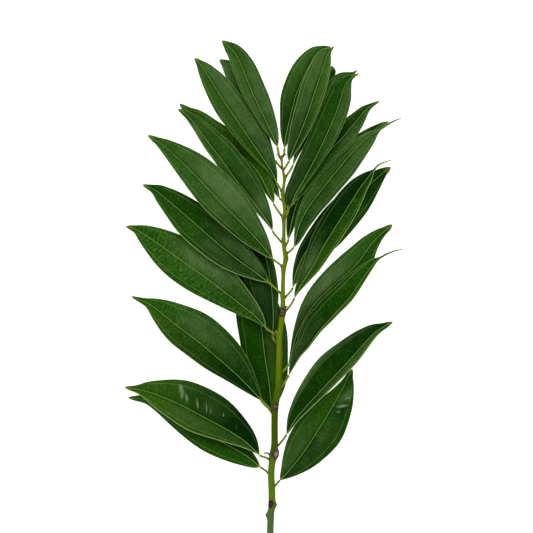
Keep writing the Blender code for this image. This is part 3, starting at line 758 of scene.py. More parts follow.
LEAVES: tuple[LeafShape, ...] = (
    LeafShape(
        "leaf_left_01", stem_y=347.0, stem_angle=180.0,
        line=((6.6, 357.7), (1.8, 369.4), (-5.4, 384.7), (-16.2, 407.2), (-26.1, 431.5), (-32.4, 443.2),
            (-43.2, 453.5)),
        wide=(8.5, 12.5), peak=(0.6, 0.55), full=(0.8, 0.75), blunt=(0.6, 0.78),
        height=(19.0, 24.0, 15.0), slope=(0.3, -0.1),
    ),
    LeafShape(
        "leaf_left_02", stem_y=338.5, stem_angle=200.0,
        line=((4.5, 346.0), (-7.2, 369.4), (-18.0, 392.8), (-27.9, 414.4), (-36.0, 428.8),
            (-45.5, 436.5)),
        wide=(9.0, 8.5), peak=(0.6, 0.6), full=(0.9, 0.9), blunt=(0.6, 0.6),
        height=(16.0, 14.5, 9.0), slope=(0.1, 0.1),
    ),
    LeafShape(
        "leaf_left_03", stem_y=318.0, stem_angle=180.0,
        line=((6.3, 325.3), (0.0, 337.9), (-13.5, 357.7), (-27.0, 377.5), (-40.5, 397.3),
            (-54.0, 418.9), (-63.0, 432.4), (-68.0, 437.8)),
        wide=(11.0, 16.5), peak=(0.6, 0.5), full=(1.0, 0.9), blunt=(0.84, 0.75),
        height=(18.5, 22.0, 12.0), slope=(0.3, -0.12),
    ),
    LeafShape(
        "leaf_left_04", stem_y=309.5, stem_angle=215.0,
        line=((8.6, 311.8), (4.5, 321.7), (-1.8, 334.3), (-10.8, 347.8), (-22.5, 364.9),
            (-34.2, 382.0)),
        wide=(6.0, 6.0), peak=(0.5, 0.5), full=(0.7, 0.9), blunt=(0.9, 0.9),
        height=(12.5, 9.0, 6.0), slope=(0.1, 0.1),
    ),
    LeafShape(
        "leaf_left_05", stem_y=294.5, stem_angle=190.0,
        line=((3.2, 307.0), (-3.2, 321.0), (-11.7, 336.1), (-27.0, 351.4), (-51.3, 368.5),
            (-66.6, 383.8), (-81.5, 396.9)),
        wide=(8.0, 13.0), peak=(0.45, 0.6), full=(0.9, 0.7), blunt=(0.9, 0.9),
        height=(15.0, 14.0, 8.0), slope=(0.0, 0.0),
    ),
    LeafShape(
        "leaf_left_06", stem_y=271.5, stem_angle=180.0,
        line=((2.3, 282.1), (-2.7, 291.1), (-12.6, 305.5), (-28.8, 325.8), (-45.0, 348.3),
            (-54.0, 359.5), (-65.7, 375.7), (-74.7, 386.5), (-82.8, 391.9)),
        wide=(6.0, 17.0), peak=(0.45, 0.45), full=(0.9, 0.9), blunt=(0.95, 0.9),
        height=(16.5, 18.5, 12.0), slope=(0.0, 0.0),
    ),
    LeafShape(
        "leaf_left_07", stem_y=249.5, stem_angle=180.0,
        line=((2.7, 256.9), (-9.0, 271.3), (-27.0, 290.7), (-45.0, 308.7), (-63.0, 327.6),
            (-81.0, 345.6), (-94.5, 357.7), (-103.5, 364.5), (-110.3, 368.5)),
        wide=(14.4, 21.0), peak=(0.45, 0.5), full=(0.74, 0.9), blunt=(1.0, 0.98),
        height=(18.0, 27.0, 0.62), slope=(0.22, -0.06),
    ),
    LeafShape(
        "leaf_left_08", stem_y=225.5, stem_angle=190.0,
        line=((-1.4, 235.8), (-13.5, 245.2), (-27.0, 254.7), (-45.0, 269.1), (-63.0, 284.8),
            (-81.0, 300.6), (-94.5, 311.8), (-103.5, 319.0), (-114.8, 323.8)),
        wide=(16.5, 18.0), peak=(0.52, 0.5), full=(0.8, 0.7), blunt=(1.0, 0.85),
        height=(15.5, 19.0, 9.0), slope=(0.1, 0.05),
    ),
    LeafShape(
        "leaf_left_09", stem_y=187.0, stem_angle=195.0,
        line=((-3.6, 194.8), (-13.5, 205.6), (-27.0, 216.4), (-45.0, 230.4), (-63.0, 243.9),
            (-81.0, 256.5), (-99.0, 269.5), (-112.5, 278.5), (-121.5, 283.9), (-130.0, 286.3)),
        wide=(18.8, 21.0), peak=(0.6, 0.5), full=(1.0, 0.88), blunt=(1.05, 0.82),
        height=(14.0, 14.5, 5.0), slope=(0.2, -0.12),
    ),
    LeafShape(
        "leaf_left_10", stem_y=119.0, stem_angle=185.0,
        line=((-7.2, 129.1), (-18.0, 140.8), (-31.5, 154.3), (-45.0, 166.0), (-63.0, 181.3),
            (-81.0, 194.8), (-99.0, 209.2), (-109.8, 216.9), (-125.1, 223.2)),
        wide=(15.7, 24.6), peak=(0.58, 0.5), full=(0.92, 0.95), blunt=(1.12, 1.02),
        height=(14.0, 17.0, 5.0), slope=(0.35, -0.08),
    ),
    LeafShape(
        "leaf_left_11", stem_y=75.5, stem_angle=175.0,
        line=((-9.5, 80.5), (-22.5, 92.7), (-40.5, 104.4), (-63.0, 116.5), (-81.0, 126.0),
            (-99.0, 133.6), (-112.5, 138.1), (-131.0, 141.4)),
        wide=(16.5, 24.8), peak=(0.55, 0.5), full=(1.0, 0.85), blunt=(1.15, 1.1),
        height=(13.0, 18.0, 8.0), slope=(0.3, -0.05),
    ),
    LeafShape(
        "leaf_left_12", stem_y=63.5, stem_angle=195.0,
        line=((-9.0, 69.7), (-22.5, 80.5), (-40.5, 90.4), (-63.0, 102.1), (-81.0, 112.9),
            (-99.0, 123.7), (-112.5, 130.0), (-127.8, 132.0)),
        wide=(14.2, 12.0), peak=(0.35, 0.5), full=(0.66, 0.7), blunt=(1.3, 0.9),
        height=(8.0, 8.5, 3.0), slope=(0.1, 0.1),
    ),
    LeafShape(
        "leaf_left_13", stem_y=121.5, stem_angle=235.0,
        line=((1.4, 120.6), (-0.9, 146.0), (-4.5, 167.8), (-7.2, 190.3), (-10.8, 215.5), (-14.4, 239.8),
            (-18.0, 260.5)),
        wide=(20.8, 22.0), peak=(0.5, 0.45), full=(0.6, 0.75), blunt=(0.42, 0.9),
        height=(6.8, 4.0, 3.0), slope=(0.0, 0.0),
    ),
    LeafShape(
        "leaf_left_14", stem_y=180.0, stem_angle=225.0,
        line=((2.3, 188.5), (3.0, 202.0), (2.3, 220.0), (0.9, 233.5), (-2.7, 254.2), (-9.0, 272.2),
            (-17.1, 285.7)),
        wide=(22.5, 5.8), peak=(0.52, 0.45), full=(0.9, 1.1), blunt=(0.36, 0.9),
        height=(10.0, 8.5, 7.0), slope=(0.0, 0.1),
    ),
    LeafShape(
        "leaf_right_01", stem_y=349.0, stem_angle=10.0,
        line=((13.0, 356.8), (14.4, 368.5), (18.0, 383.8), (22.0, 400.0), (27.0, 413.5), (33.3, 427.0),
            (40.5, 439.6), (47.0, 445.4), (54.6, 447.6)),
        wide=(13.5, 10.0), peak=(0.6, 0.6), full=(0.9, 0.75), blunt=(0.85, 0.5),
        height=(18.5, 19.0, 15.0), slope=(0.0, 0.0),
    ),
    LeafShape(
        "leaf_right_02", stem_y=337.0, stem_angle=10.0,
        line=((17.1, 345.1), (20.7, 355.0), (28.8, 373.9), (35.1, 391.0), (40.0, 406.3), (44.1, 418.0),
            (48.2, 430.6), (52.0, 441.5), (57.6, 448.2)),
        wide=(13.0, 8.6), peak=(0.6, 0.6), full=(0.7, 0.75), blunt=(0.5, 0.82),
        height=(19.0, 26.0, 19.5), slope=(0.05, 0.2),
    ),
    LeafShape(
        "leaf_right_03", stem_y=330.0, stem_angle=350.0,
        line=((20.7, 341.5), (25.2, 353.2), (32.4, 368.5), (40.5, 386.5), (46.8, 403.6), (52.2, 418.0),
            (56.3, 430.6)),
        wide=(6.0, 4.8), peak=(0.5, 0.6), full=(0.9, 0.9), blunt=(0.6, 0.3),
        height=(15.0, 13.0, 12.0), slope=(0.0, 0.0),
    ),
    LeafShape(
        "leaf_right_04", stem_y=295.0, stem_angle=40.0,
        line=((16.7, 301.0), (19.8, 307.3), (23.4, 316.3), (29.3, 326.2), (41.4, 348.7), (48.6, 363.6),
            (54.9, 377.5), (59.4, 388.3), (63.9, 401.8), (66.6, 410.8), (72.0, 418.9), (80.1, 423.9)),
        wide=(14.2, 10.0), peak=(0.6, 0.7), full=(0.44, 1.2), blunt=(0.55, 0.85),
        height=(19.5, 22.0, 17.0), slope=(-0.1, 0.2),
    ),
    LeafShape(
        "leaf_right_05", stem_y=313.5, stem_angle=345.0,
        line=((26.1, 327.1), (35.1, 346.0), (44.1, 364.9), (52.2, 383.8), (59.4, 399.1), (66.6, 412.6),
            (72.0, 420.7), (78.3, 427.0)),
        wide=(14.0, 7.0), peak=(0.72, 0.6), full=(1.3, 0.9), blunt=(0.52, 0.8),
        height=(15.5, 17.5, 12.5), slope=(0.0, 0.0),
    ),
    LeafShape(
        "leaf_right_06", stem_y=301.0, stem_angle=325.0,
        line=((22.1, 308.2), (29.7, 319.9), (37.8, 333.4), (49.5, 349.2), (56.7, 357.3), (65.7, 366.7),
            (72.0, 374.4), (78.3, 381.6), (85.5, 390.6), (91.8, 395.5), (98.6, 399.1)),
        wide=(10.0, 9.5), peak=(0.6, 0.6), full=(0.9, 0.9), blunt=(1.0, 1.15),
        height=(14.5, 13.5, 11.0), slope=(0.0, 0.1),
    ),
    LeafShape(
        "leaf_right_07", stem_y=269.0, stem_angle=335.0,
        line=((16.7, 274.9), (18.0, 282.1), (19.8, 291.1), (23.4, 304.6), (28.8, 315.4), (39.6, 327.1),
            (54.0, 340.2), (68.4, 352.3), (81.0, 362.7), (91.8, 371.7), (99.9, 377.5), (107.1, 380.8)),
        wide=(9.0, 8.5), peak=(0.6, 0.5), full=(0.6, 0.8), blunt=(1.0, 0.9),
        height=(12.5, 4.0, 1.03), slope=(0.0, 0.0),
    ),
    LeafShape(
        "leaf_right_08", stem_y=261.0, stem_angle=0.0,
        line=((21.2, 267.7), (24.3, 280.3), (27.9, 291.1), (36.0, 305.5), (45.0, 317.2), (54.0, 328.9),
            (63.0, 339.7), (72.0, 350.5), (81.0, 360.0), (90.0, 368.0), (98.1, 373.0), (108.0, 379.3),
            (118.8, 384.2)),
        wide=(11.5, 13.2), peak=(0.55, 0.62), full=(1.15, 0.58), blunt=(1.05, 0.8),
        height=(16.0, 10.5, 7.0), slope=(0.0, 0.25),
    ),
    LeafShape(
        "leaf_right_09", stem_y=210.0, stem_angle=0.0,
        line=((22.1, 221.8), (25.2, 229.0), (32.4, 240.7), (38.7, 250.6), (46.8, 265.9), (56.7, 282.1),
            (65.7, 296.5), (74.7, 310.9), (81.0, 320.8), (87.3, 328.9), (92.7, 336.1), (99.0, 342.4),
            (109.8, 346.3)),
        wide=(14.8, 10.0), peak=(0.6, 0.55), full=(0.9, 0.9), blunt=(0.82, 0.8),
        height=(16.0, 16.0, 8.0), slope=(0.05, 0.25),
    ),
    LeafShape(
        "leaf_right_10", stem_y=222.0, stem_angle=340.0,
        line=((20.4, 231.3), (22.1, 239.8), (25.7, 250.6), (33.3, 265.0), (45.9, 280.3), (63.9, 299.7),
            (79.2, 313.6), (91.8, 325.3), (100.8, 333.9), (108.9, 339.7)),
        wide=(12.0, 19.5), peak=(0.6, 0.5), full=(1.0, 0.95), blunt=(0.75, 1.02),
        height=(14.0, 10.0, 4.0), slope=(-0.05, 0.1),
    ),
    LeafShape(
        "leaf_right_11", stem_y=154.5, stem_angle=345.0,
        line=((16.7, 162.4), (19.8, 175.0), (25.2, 191.2), (34.2, 208.3), (45.0, 221.8), (58.5, 234.4),
            (72.0, 246.1), (81.0, 256.0), (90.0, 268.6), (99.0, 278.5), (110.3, 288.0)),
        wide=(15.5, 19.0), peak=(0.62, 0.48), full=(1.45, 0.9), blunt=(0.98, 1.25),
        height=(12.0, 9.0, 4.0), slope=(0.1, 0.05),
    ),
    LeafShape(
        "leaf_right_12", stem_y=142.0, stem_angle=5.0,
        line=((17.1, 152.5), (21.6, 160.6), (27.0, 169.6), (34.2, 177.7), (44.1, 192.1), (53.1, 202.0),
            (61.2, 211.0), (69.8, 220.0), (76.5, 229.0), (81.9, 237.1), (88.2, 246.1), (94.5, 254.2),
            (101.7, 259.6), (110.7, 263.7), (119.7, 265.9)),
        wide=(17.0, 3.0), peak=(0.5, 0.7), full=(0.9, 1.5), blunt=(0.9, 0.9),
        height=(15.0, 17.0, 6.0), slope=(0.0, 0.7),
    ),
    LeafShape(
        "leaf_right_13", stem_y=89.0, stem_angle=0.0,
        line=((14.9, 99.0), (22.5, 112.1), (31.5, 122.9), (45.0, 137.7), (58.5, 152.1), (72.0, 166.5),
            (84.6, 180.9), (94.5, 190.8), (103.5, 196.7), (110.7, 200.2)),
        wide=(20.6, 5.8), peak=(0.5, 0.62), full=(0.95, 0.7), blunt=(1.0, 1.1),
        height=(12.5, 17.0, 7.0), slope=(-0.05, 0.5),
    ),
    LeafShape(
        "leaf_right_14", stem_y=52.0, stem_angle=345.0,
        line=((9.0, 57.6), (18.0, 67.1), (31.5, 84.6), (45.0, 105.3), (57.6, 126.0), (65.7, 140.4),
            (70.2, 149.4), (74.2, 157.5)),
        wide=(20.2, 21.6), peak=(0.43, 0.5), full=(0.85, 0.97), blunt=(1.36, 0.95),
        height=(8.0, 6.5, 3.5), slope=(0.05, 0.1),
    ),
)

# Each leaf's colour, half by half and spot by spot, with its painted sheen, painted shade and painted
# light.
LOOKS: dict[str, LeafLook] = {
    "leaf_left_01": LeafLook(
        Half(tone=(0.35, 0.9), painted_sheen=(0.4, 0.4), sun=(0.0, 0.1)),
        Half(tone=(0.6, 0.8), painted_sheen=(0.75, 0.3)),
        veins=0.8,
        drip=4.0,
        patches=(Patch(0.45, 0.4, 0.2, 0.4, painted_sheen=0.3), Patch(0.55, -0.5, 0.2, 0.4, painted_sheen=0.4)),
    ),
    "leaf_left_02": LeafLook(
        Half(tone=(0.7, 1.1), painted_sheen=(0.8, 1.1), sun=(0.0, 0.2)),
        Half(tone=(0.1, 1.0), painted_sheen=(0.1, 0.85)),
        drip=4.0,
        patches=(Patch(0.55, -0.4, 0.2, 0.5, painted_sheen=0.3),),
    ),
    "leaf_left_03": LeafLook(
        Half(tone=(0.5, 0.9), painted_sheen=(0.0, 0.25), sun=(0.1, 0.1)),
        Half(tone=(0.3, 1.0), painted_sheen=(0.45, 0.75)),
        veins=0.8,
        drip=5.0,
        patches=(Patch(0.55, 0.4, 0.15, 0.5, painted_sheen=0.15), Patch(0.45, -0.4, 0.2, 0.4, painted_sheen=0.25)),
    ),
    "leaf_left_04": LeafLook(
        Half(tone=(0.6, 0.5), painted_sheen=(0.0, 0.0), sun=(0.0, 0.1)),
        Half(tone=(0.8, 0.5), painted_sheen=(0.1, 0.0), sun=(0.5, 0.2)),
        patches=(Patch(0.4, 0.4, 0.12, 0.5, tone=0.4, painted_sheen=0.1),),
    ),
    "leaf_left_05": LeafLook(
        Half(tone=(0.5, 0.6), painted_sheen=(0.1, 0.4), sun=(0.1, 0.0)),
        Half(tone=(0.9, 1.1), painted_sheen=(0.0, 0.0), sun=(0.3, 0.3)),
        patches=(Patch(0.42, -0.5, 0.13, 0.5, tone=-0.9, painted_sheen=-0.1),),
    ),
    "leaf_left_06": LeafLook(
        Half(tone=(0.8, 0.8), painted_sheen=(0.7, -0.1), sun=(0.0, 0.15)),
        Half(tone=(0.3, 0.8), painted_sheen=(0.2, 0.25)),
        patches=(
            Patch(0.81, 0.5, 0.07, 0.5, painted_sheen=1.1),
            Patch(0.18, -0.45, 0.09, 0.5, painted_sheen=0.8, tone=0.3),
        ),
    ),
    "leaf_left_07": LeafLook(
        Half(tone=(0.5, 1.0), painted_sheen=(0.1, 0.3), edge=0.9),
        Half(tone=(0.5, 0.9), painted_sheen=(0.65, 0.4)),
        patches=(
            Patch(0.40, 0.45, 0.12, 0.4, painted_sheen=0.35),
            Patch(0.50, -0.45, 0.20, 0.5, painted_sheen=0.85),
            Patch(0.27, 0.92, 0.12, 0.15, tone=-0.5),
        ),
    ),
    "leaf_left_08": LeafLook(
        Half(tone=(0.15, 0.8), painted_sheen=(0.25, 0.0), edge=1.2),
        Half(tone=(0.2, 0.6), painted_sheen=(0.6, -0.3), edge=0.2),
        veins=0.9,
        patches=(Patch(0.4, 0.4, 0.1, 0.4, painted_sheen=0.2), Patch(0.6, 0.5, 0.1, 0.5, tone=0.2)),
    ),
    "leaf_left_09": LeafLook(
        Half(tone=(0.7, 1.05), painted_sheen=(0.0, 0.0), sun=(0.0, 0.1)),
        Half(tone=(0.4, 1.1), painted_sheen=(0.35, 0.0), edge=1.0),
        veins=1.8,
        patches=(Patch(0.53, -0.50, 0.18, 0.6, painted_sheen=1.05),),
    ),
    "leaf_left_10": LeafLook(
        Half(tone=(-0.1, 0.9), painted_sheen=(0.0, 0.0), sun=(0.0, 0.3)),
        Half(tone=(0.25, 1.0), painted_sheen=(0.05, 0.05)),
        veins=1.4,
        drip=12.0,
        stalk=1.5,
        patches=(
            Patch(0.58, -0.38, 0.15, 0.45, painted_sheen=0.65),
            Patch(0.38, -0.5, 0.1, 0.4, painted_sheen=0.25),
            Patch(0.6, 0.5, 0.12, 0.5, tone=-0.3),
        ),
    ),
    "leaf_left_11": LeafLook(
        Half(tone=(0.4, 0.9), painted_sheen=(0.25, 0.0), sun=(0.05, 0.5), edge=1.5),
        Half(tone=(-0.15, 1.2), painted_sheen=(0.0, 0.1), sun=(0.0, 0.25), edge=0.4),
        veins=0.9,
        drip=8.0,
        patches=(
            Patch(0.55, 0.4, 0.15, 0.4, painted_sheen=0.2),
            Patch(0.46, -0.38, 0.035, 0.25, painted_sheen=0.30),
            Patch(0.38, -0.4, 0.08, 0.25, painted_sheen=0.15),
            Patch(0.54, -0.5, 0.14, 0.45, tone=-0.40),
            Patch(0.65, -0.8, 0.2, 0.2, tone=-0.2),
        ),
        wet=(
            Patch(0.660, -0.70, 0.016, 0.12, lean=-0.10),
            Patch(0.645, -0.52, 0.022, 0.16, lean=-0.10),
            Patch(0.630, -0.32, 0.012, 0.14, lean=-0.10),
            Patch(0.598, -0.34, 0.013, 0.20, lean=-0.10),
            Patch(0.520, -0.32, 0.012, 0.22, lean=-0.12),
            Patch(0.455, -0.34, 0.006, 0.24, lean=-0.12),
            Patch(0.430, -0.38, 0.005, 0.24, lean=-0.12),
            Patch(0.340, -0.45, 0.007, 0.12, lean=-0.12),
            Patch(0.230, -0.36, 0.008, 0.10, lean=-0.10),
        ),
    ),
    "leaf_left_12": LeafLook(
        Half(tone=(0.9, 1.0), painted_sheen=(-0.1, 0.3)),
        Half(tone=(0.3, 0.95), painted_sheen=(0.0, 0.1), sun=(0.05, 0.3)),
        veins=0.9,
        drip=9.0,
        patches=(Patch(0.85, 0.5, 0.10, 0.5, painted_sheen=1.0),),
    ),
    "leaf_left_13": LeafLook(
        Half(tone=(0.45, 0.5), painted_sheen=(-0.1, 0.12)),
        Half(tone=(0.6, 0.0), painted_sheen=(0.15, 0.45), sun=(0.35, -0.2), edge=0.2),
        veins=0.6,
        drip=3.0,
    ),
    "leaf_left_14": LeafLook(
        Half(tone=(-0.1, 0.0), painted_sheen=(0.1, 0.0), edge=0.2),
        Half(tone=(0.1, 0.2), painted_sheen=(0.3, 0.1), edge=0.2),
        drip=3.0,
        patches=(Patch(0.4, 0.4, 0.15, 0.5, painted_sheen=0.15),),
    ),
    "leaf_right_01": LeafLook(
        Half(tone=(0.2, 1.1), painted_sheen=(0.1, 0.4)),
        Half(tone=(0.3, 0.9), painted_sheen=(0.4, 0.95)),
        veins=0.8,
        drip=6.0,
        patches=(Patch(0.4, -0.5, 0.12, 0.5, painted_sheen=-0.45),),
    ),
    "leaf_right_02": LeafLook(
        Half(tone=(0.15, 0.8), painted_sheen=(0.35, 0.7), edge=0.8),
        Half(tone=(0.3, 1.0), painted_sheen=(0.1, 0.4), sun=(0.0, 0.45), edge=0.8),
        veins=0.7,
        drip=5.0,
        point=1.5,
    ),
    "leaf_right_03": LeafLook(
        Half(tone=(0.25, 0.85), painted_sheen=(0.1, 0.35), sun=(0.0, 0.1)),
        Half(tone=(0.0, 0.2), painted_sheen=(0.0, 0.1)),
        drip=1.5,
    ),
    "leaf_right_04": LeafLook(
        Half(tone=(0.15, 0.7), painted_sheen=(0.25, 0.0)),
        Half(tone=(0.35, 0.75), painted_sheen=(0.25, 0.5)),
        veins=0.7,
        drip=8.0,
        point=1.5,
        patches=(Patch(0.38, -0.45, 0.1, 0.5, painted_sheen=-0.2, tone=-0.1),),
    ),
    "leaf_right_05": LeafLook(
        Half(tone=(0.1, 0.9), painted_sheen=(0.1, 0.35)),
        Half(tone=(0.45, 0.6), painted_sheen=(0.25, 0.6)),
        drip=6.0,
        point=1.5,
        patches=(Patch(0.52, 0.4, 0.15, 0.5, tone=-0.6, painted_sheen=-0.3),),
    ),
    "leaf_right_06": LeafLook(
        Half(tone=(0.15, 0.45), painted_sheen=(0.0, 0.0)),
        Half(tone=(0.5, 0.55), painted_sheen=(0.0, 0.55)),
        point=1.7,
        patches=(Patch(0.58, 0.45, 0.12, 0.5, tone=-0.45, painted_sheen=-0.1),),
    ),
    "leaf_right_07": LeafLook(
        Half(tone=(0.0, 0.5), painted_sheen=(0.0, 0.1)),
        Half(tone=(0.35, 0.55), painted_sheen=(0.0, 0.55)),
        drip=6.0,
        point=1.8,
    ),
    "leaf_right_08": LeafLook(
        Half(tone=(0.6, 0.8), painted_sheen=(0.3, 0.75)),
        Half(tone=(0.35, 0.8), painted_sheen=(0.2, 0.7)),
        drip=6.0,
        tail=18.0,
        point=1.0,
        patches=(Patch(0.50, 0.4, 0.15, 0.45, painted_sheen=-0.3),),
    ),
    "leaf_right_09": LeafLook(
        Half(tone=(0.2, -0.15), painted_sheen=(0.0, 0.0)),
        Half(tone=(0.75, 0.4), painted_sheen=(0.0, 0.0), sun=(0.3, -0.05), edge=1.0),
        drip=5.0,
        tail=15.0,
        point=0.8,
        patches=(Patch(0.22, 0.4, 0.13, 0.4, painted_sheen=1.0), Patch(0.6, -0.4, 0.1, 0.5, tone=0.2)),
    ),
    "leaf_right_10": LeafLook(
        Half(tone=(-0.2, 0.3), painted_sheen=(0.1, -0.1)),
        Half(tone=(0.95, 0.3), painted_sheen=(0.6, -0.2)),
        veins=0.6,
        drip=4.0,
        patches=(
            Patch(0.42, 0.4, 0.2, 0.5, tone=-0.4, painted_sheen=-0.2),
            Patch(0.62, -0.45, 0.12, 0.5, tone=0.3),
        ),
    ),
    "leaf_right_11": LeafLook(
        Half(tone=(0.1, 1.0), painted_sheen=(0.3, 0.1)),
        Half(tone=(-0.25, 0.8), painted_sheen=(0.2, 0.0)),
        drip=5.0,
        patches=(
            Patch(0.52, 0.45, 0.19, 0.5, painted_sheen=0.95),
            Patch(0.55, -0.5, 0.12, 0.5, tone=-0.15, painted_sheen=0.1),
        ),
    ),
    "leaf_right_12": LeafLook(
        Half(tone=(0.05, 0.9), painted_sheen=(0.35, -0.7)),
        Half(tone=(0.6, 0.8), painted_sheen=(0.8, 0.0), sun=(0.6, 0.3), edge=0.6),
        drip=5.0,
        tail=18.0,
        point=0.8,
        patches=(Patch(0.6, 0.4, 0.12, 0.4, painted_sheen=0.15),),
    ),
    "leaf_right_13": LeafLook(
        Half(tone=(0.25, 0.15), painted_sheen=(0.0, 0.0), edge=0.4),
        Half(tone=(0.15, 0.8), painted_sheen=(0.0, 0.5), sun=(0.1, 0.1), edge=1.3),
        patches=(
            Patch(0.4, 0.92, 0.4, 0.14, painted_sheen=0.9, tone=0.3),
            Patch(0.42, 0.45, 0.1, 0.5, tone=0.15),
            Patch(0.5, -0.5, 0.2, 0.5, painted_sheen=0.15),
        ),
    ),
    "leaf_right_14": LeafLook(
        Half(tone=(0.5, 1.2), painted_sheen=(0.5, -0.2), sun=(0.0, 0.15)),
        Half(tone=(0.2, 0.8), painted_sheen=(0.2, 0.0)),
        veins=0.8,
        drip=4.0,
        patches=(
            Patch(0.50, -0.25, 0.15, 0.2, painted_sheen=0.3),
            Patch(0.73, -0.50, 0.10, 0.4, tone=-0.6),
            Patch(0.800, -0.45, 0.050, 0.36, painted_sheen=0.9, tone=0.4, lean=-0.10),
        ),
        wet=(
            Patch(0.795, -0.62, 0.012, 0.20, lean=-0.10),
            Patch(0.722, -0.42, 0.018, 0.36, lean=-0.10),
            Patch(0.672, -0.38, 0.012, 0.12, lean=-0.10),
        ),
    ),
}


@dataclass(frozen=True)
class Swelling:
    """A bump of the twig's skin where something grew.

    y is its place along the twig and degrees its place round it. height is how far it stands out,
    brown how brown its skin is, and spread its half-length, in millimetres.
    """

    y: float
    degrees: float
    height: float
    brown: float
    spread: float = 2.6


TWIG_SWELLINGS: tuple[Swelling, ...] = (
    Swelling(26.0, 178.0, 1.9, 0.2, spread=2.5),
    Swelling(35.5, 2.0, 1.6, 0.35),
    Swelling(37.5, 100.0, 0.2, 0.4),
    Swelling(81.0, 25.0, 1.8, 0.7, spread=4.2),
    Swelling(81.0, 150.0, 0.5, 0.5, spread=4.2),
    Swelling(123.0, 85.0, 0.35, 0.9, spread=3.6),
    Swelling(125.5, 200.0, 0.6, 0.6),
    Swelling(141.0, 10.0, 0.6, 0.3),
    Swelling(187.5, 170.0, 0.5, 0.1),
    Swelling(209.0, 60.0, 0.40, 0.9, spread=3.4),
    Swelling(209.0, 130.0, 0.40, 0.9, spread=3.4),
    Swelling(224.0, 170.0, 0.6, 0.2),
    Swelling(247.5, 170.0, 0.5, 0.1),
    Swelling(257.5, 20.0, 0.6, 0.4),
    Swelling(272.0, 170.0, 0.5, 0.1),
    Swelling(293.5, 90.0, 0.3, 0.7),
    Swelling(293.5, 170.0, 0.4, 0.5),
    Swelling(296.5, 0.0, 0.5, 0.1),
    Swelling(316.0, 170.0, 0.5, 0.5),
    Swelling(330.0, 10.0, 0.5, 0.1),
)


@dataclass
class Twig:
    """The stem: a round green twig with swollen nodes and a cut end.

    wobbles are the waves that keep the skin from being quite round, each with its height, its
    crests round the twig and its twist along it. cut_rings say how far in from the bark the rings
    of the cut face lie, in shares of the radius.
    """

    bark: bpy.types.Material
    line: tuple[tuple[float, float, float, float], ...] = TWIG_LINE
    swellings: tuple[Swelling, ...] = TWIG_SWELLINGS
    stations: int = 420
    sides: int = 32
    skin_growth: float = 0.08
    wobbles: tuple[Triple, ...] = ((0.05, 3.0, 0.05), (0.04, 5.0, -0.021))
    cut_rings: tuple[float, ...] = (0.08, 0.3, 0.55, 0.97, 0.99)

    def place(self, y: float) -> tuple[np.ndarray, float]:
        """The twig's middle and radius at plan position y."""
        table = np.array(self.line)
        x, z, radius = (np.interp(y, table[:, 1], table[:, column]) for column in (0, 2, 3))
        return np.array([x, y, z]), float(radius)

    def frames(self) -> tuple[np.ndarray, np.ndarray, np.ndarray, np.ndarray]:
        """The twig's middle line, radius and two directions square to it, at each station."""
        line = smooth_line(self.line, self.stations)
        middle, radius = line[:, :3], line[:, 3]
        forward = unit(np.gradient(middle, axis=0))
        across = unit(np.cross(forward, np.array([0.0, 0.0, 1.0])))
        return middle, radius, across, np.cross(across, forward)

    def swelling(self, y: np.ndarray, turn: np.ndarray) -> tuple[np.ndarray, np.ndarray]:
        """The bumps where leaves and side shoots grew.

        Args:
            y: Plan positions of the stations.
            turn: Angles round the twig, in radians.

        Returns:
            How far the skin stands out in millimetres, and how brown it is, stations by sides.
        """
        out = np.zeros((len(y), len(turn)))
        brown = np.zeros_like(out)
        for bump in self.swellings:
            near = bell(y - bump.y, bump.spread)[:, None]
            round_it = np.exp(-2.0 * (1.0 - np.cos(turn - np.radians(bump.degrees))))[None, :]
            out += bump.height * near * round_it
            brown = np.maximum(brown, bump.brown * near**1.5 * round_it**0.6)
        return out, brown

    def skin(self, y: float, turn: float) -> np.ndarray:
        """The point of the twig's skin at plan position y and an angle in radians."""
        middle, radius = self.place(y)
        out, _ = self.swelling(np.array([y]), np.array([turn]))
        return middle + (radius + self.skin_growth + out[0, 0]) * outward(turn)

    def build(self) -> bpy.types.Object:
        """Makes the twig in one piece."""
        middle, radius, across, up = self.frames()
        y = middle[:, 1]
        turn = full_turn(self.sides)
        out, brown = self.swelling(y, turn)
        waves = [high * np.sin(crests * turn + y[:, None] * twist) for high, crests, twist in self.wobbles]
        size = radius[:, None] + self.skin_growth + out + sum(waves)
        skin = middle[:, None] + size[:, :, None] * spokes(turn, across[:, None], up[:, None])
        # The cut face: flat rings from the pith out to the bark.
        far = 1.0 - np.array(self.cut_rings)[::-1]
        face = middle[0] + far[:, None, None] * (skin[0] - middle[0])
        solid = Solid("twig", np.concatenate([face, skin]))
        place = np.empty(solid.rings.shape)
        place[:, :, 0] = np.minimum(turn, 2 * np.pi - turn)
        place[:, :, 1] = np.concatenate([np.zeros(len(face)), y])[:, None]
        # How high round the twig each point is, which the bark's painted shade reads.
        place[:, :, 2] = np.sin(turn)
        solid.mark("place", place)
        solid.mark("scar", np.pad(brown, ((len(face), 0), (0, 0))))
        solid.mark("face", np.arange(len(solid.rings)) < len(face))
        solid.mark("cut", np.concatenate([far, np.ones(len(skin))]))
        return solid.build(self.bark)


@dataclass(frozen=True)
class Crease:
    """The low ridge of a nerve in its wider groove: heights and half-widths in millimetres."""

    ridge: float
    ridge_width: float
    groove: float
    groove_width: float

    def height(self, off: np.ndarray) -> np.ndarray:
        """How far the skin stands out, off millimetres from the nerve."""
        return self.ridge * bell(off, self.ridge_width) - self.groove * bell(off, self.groove_width)


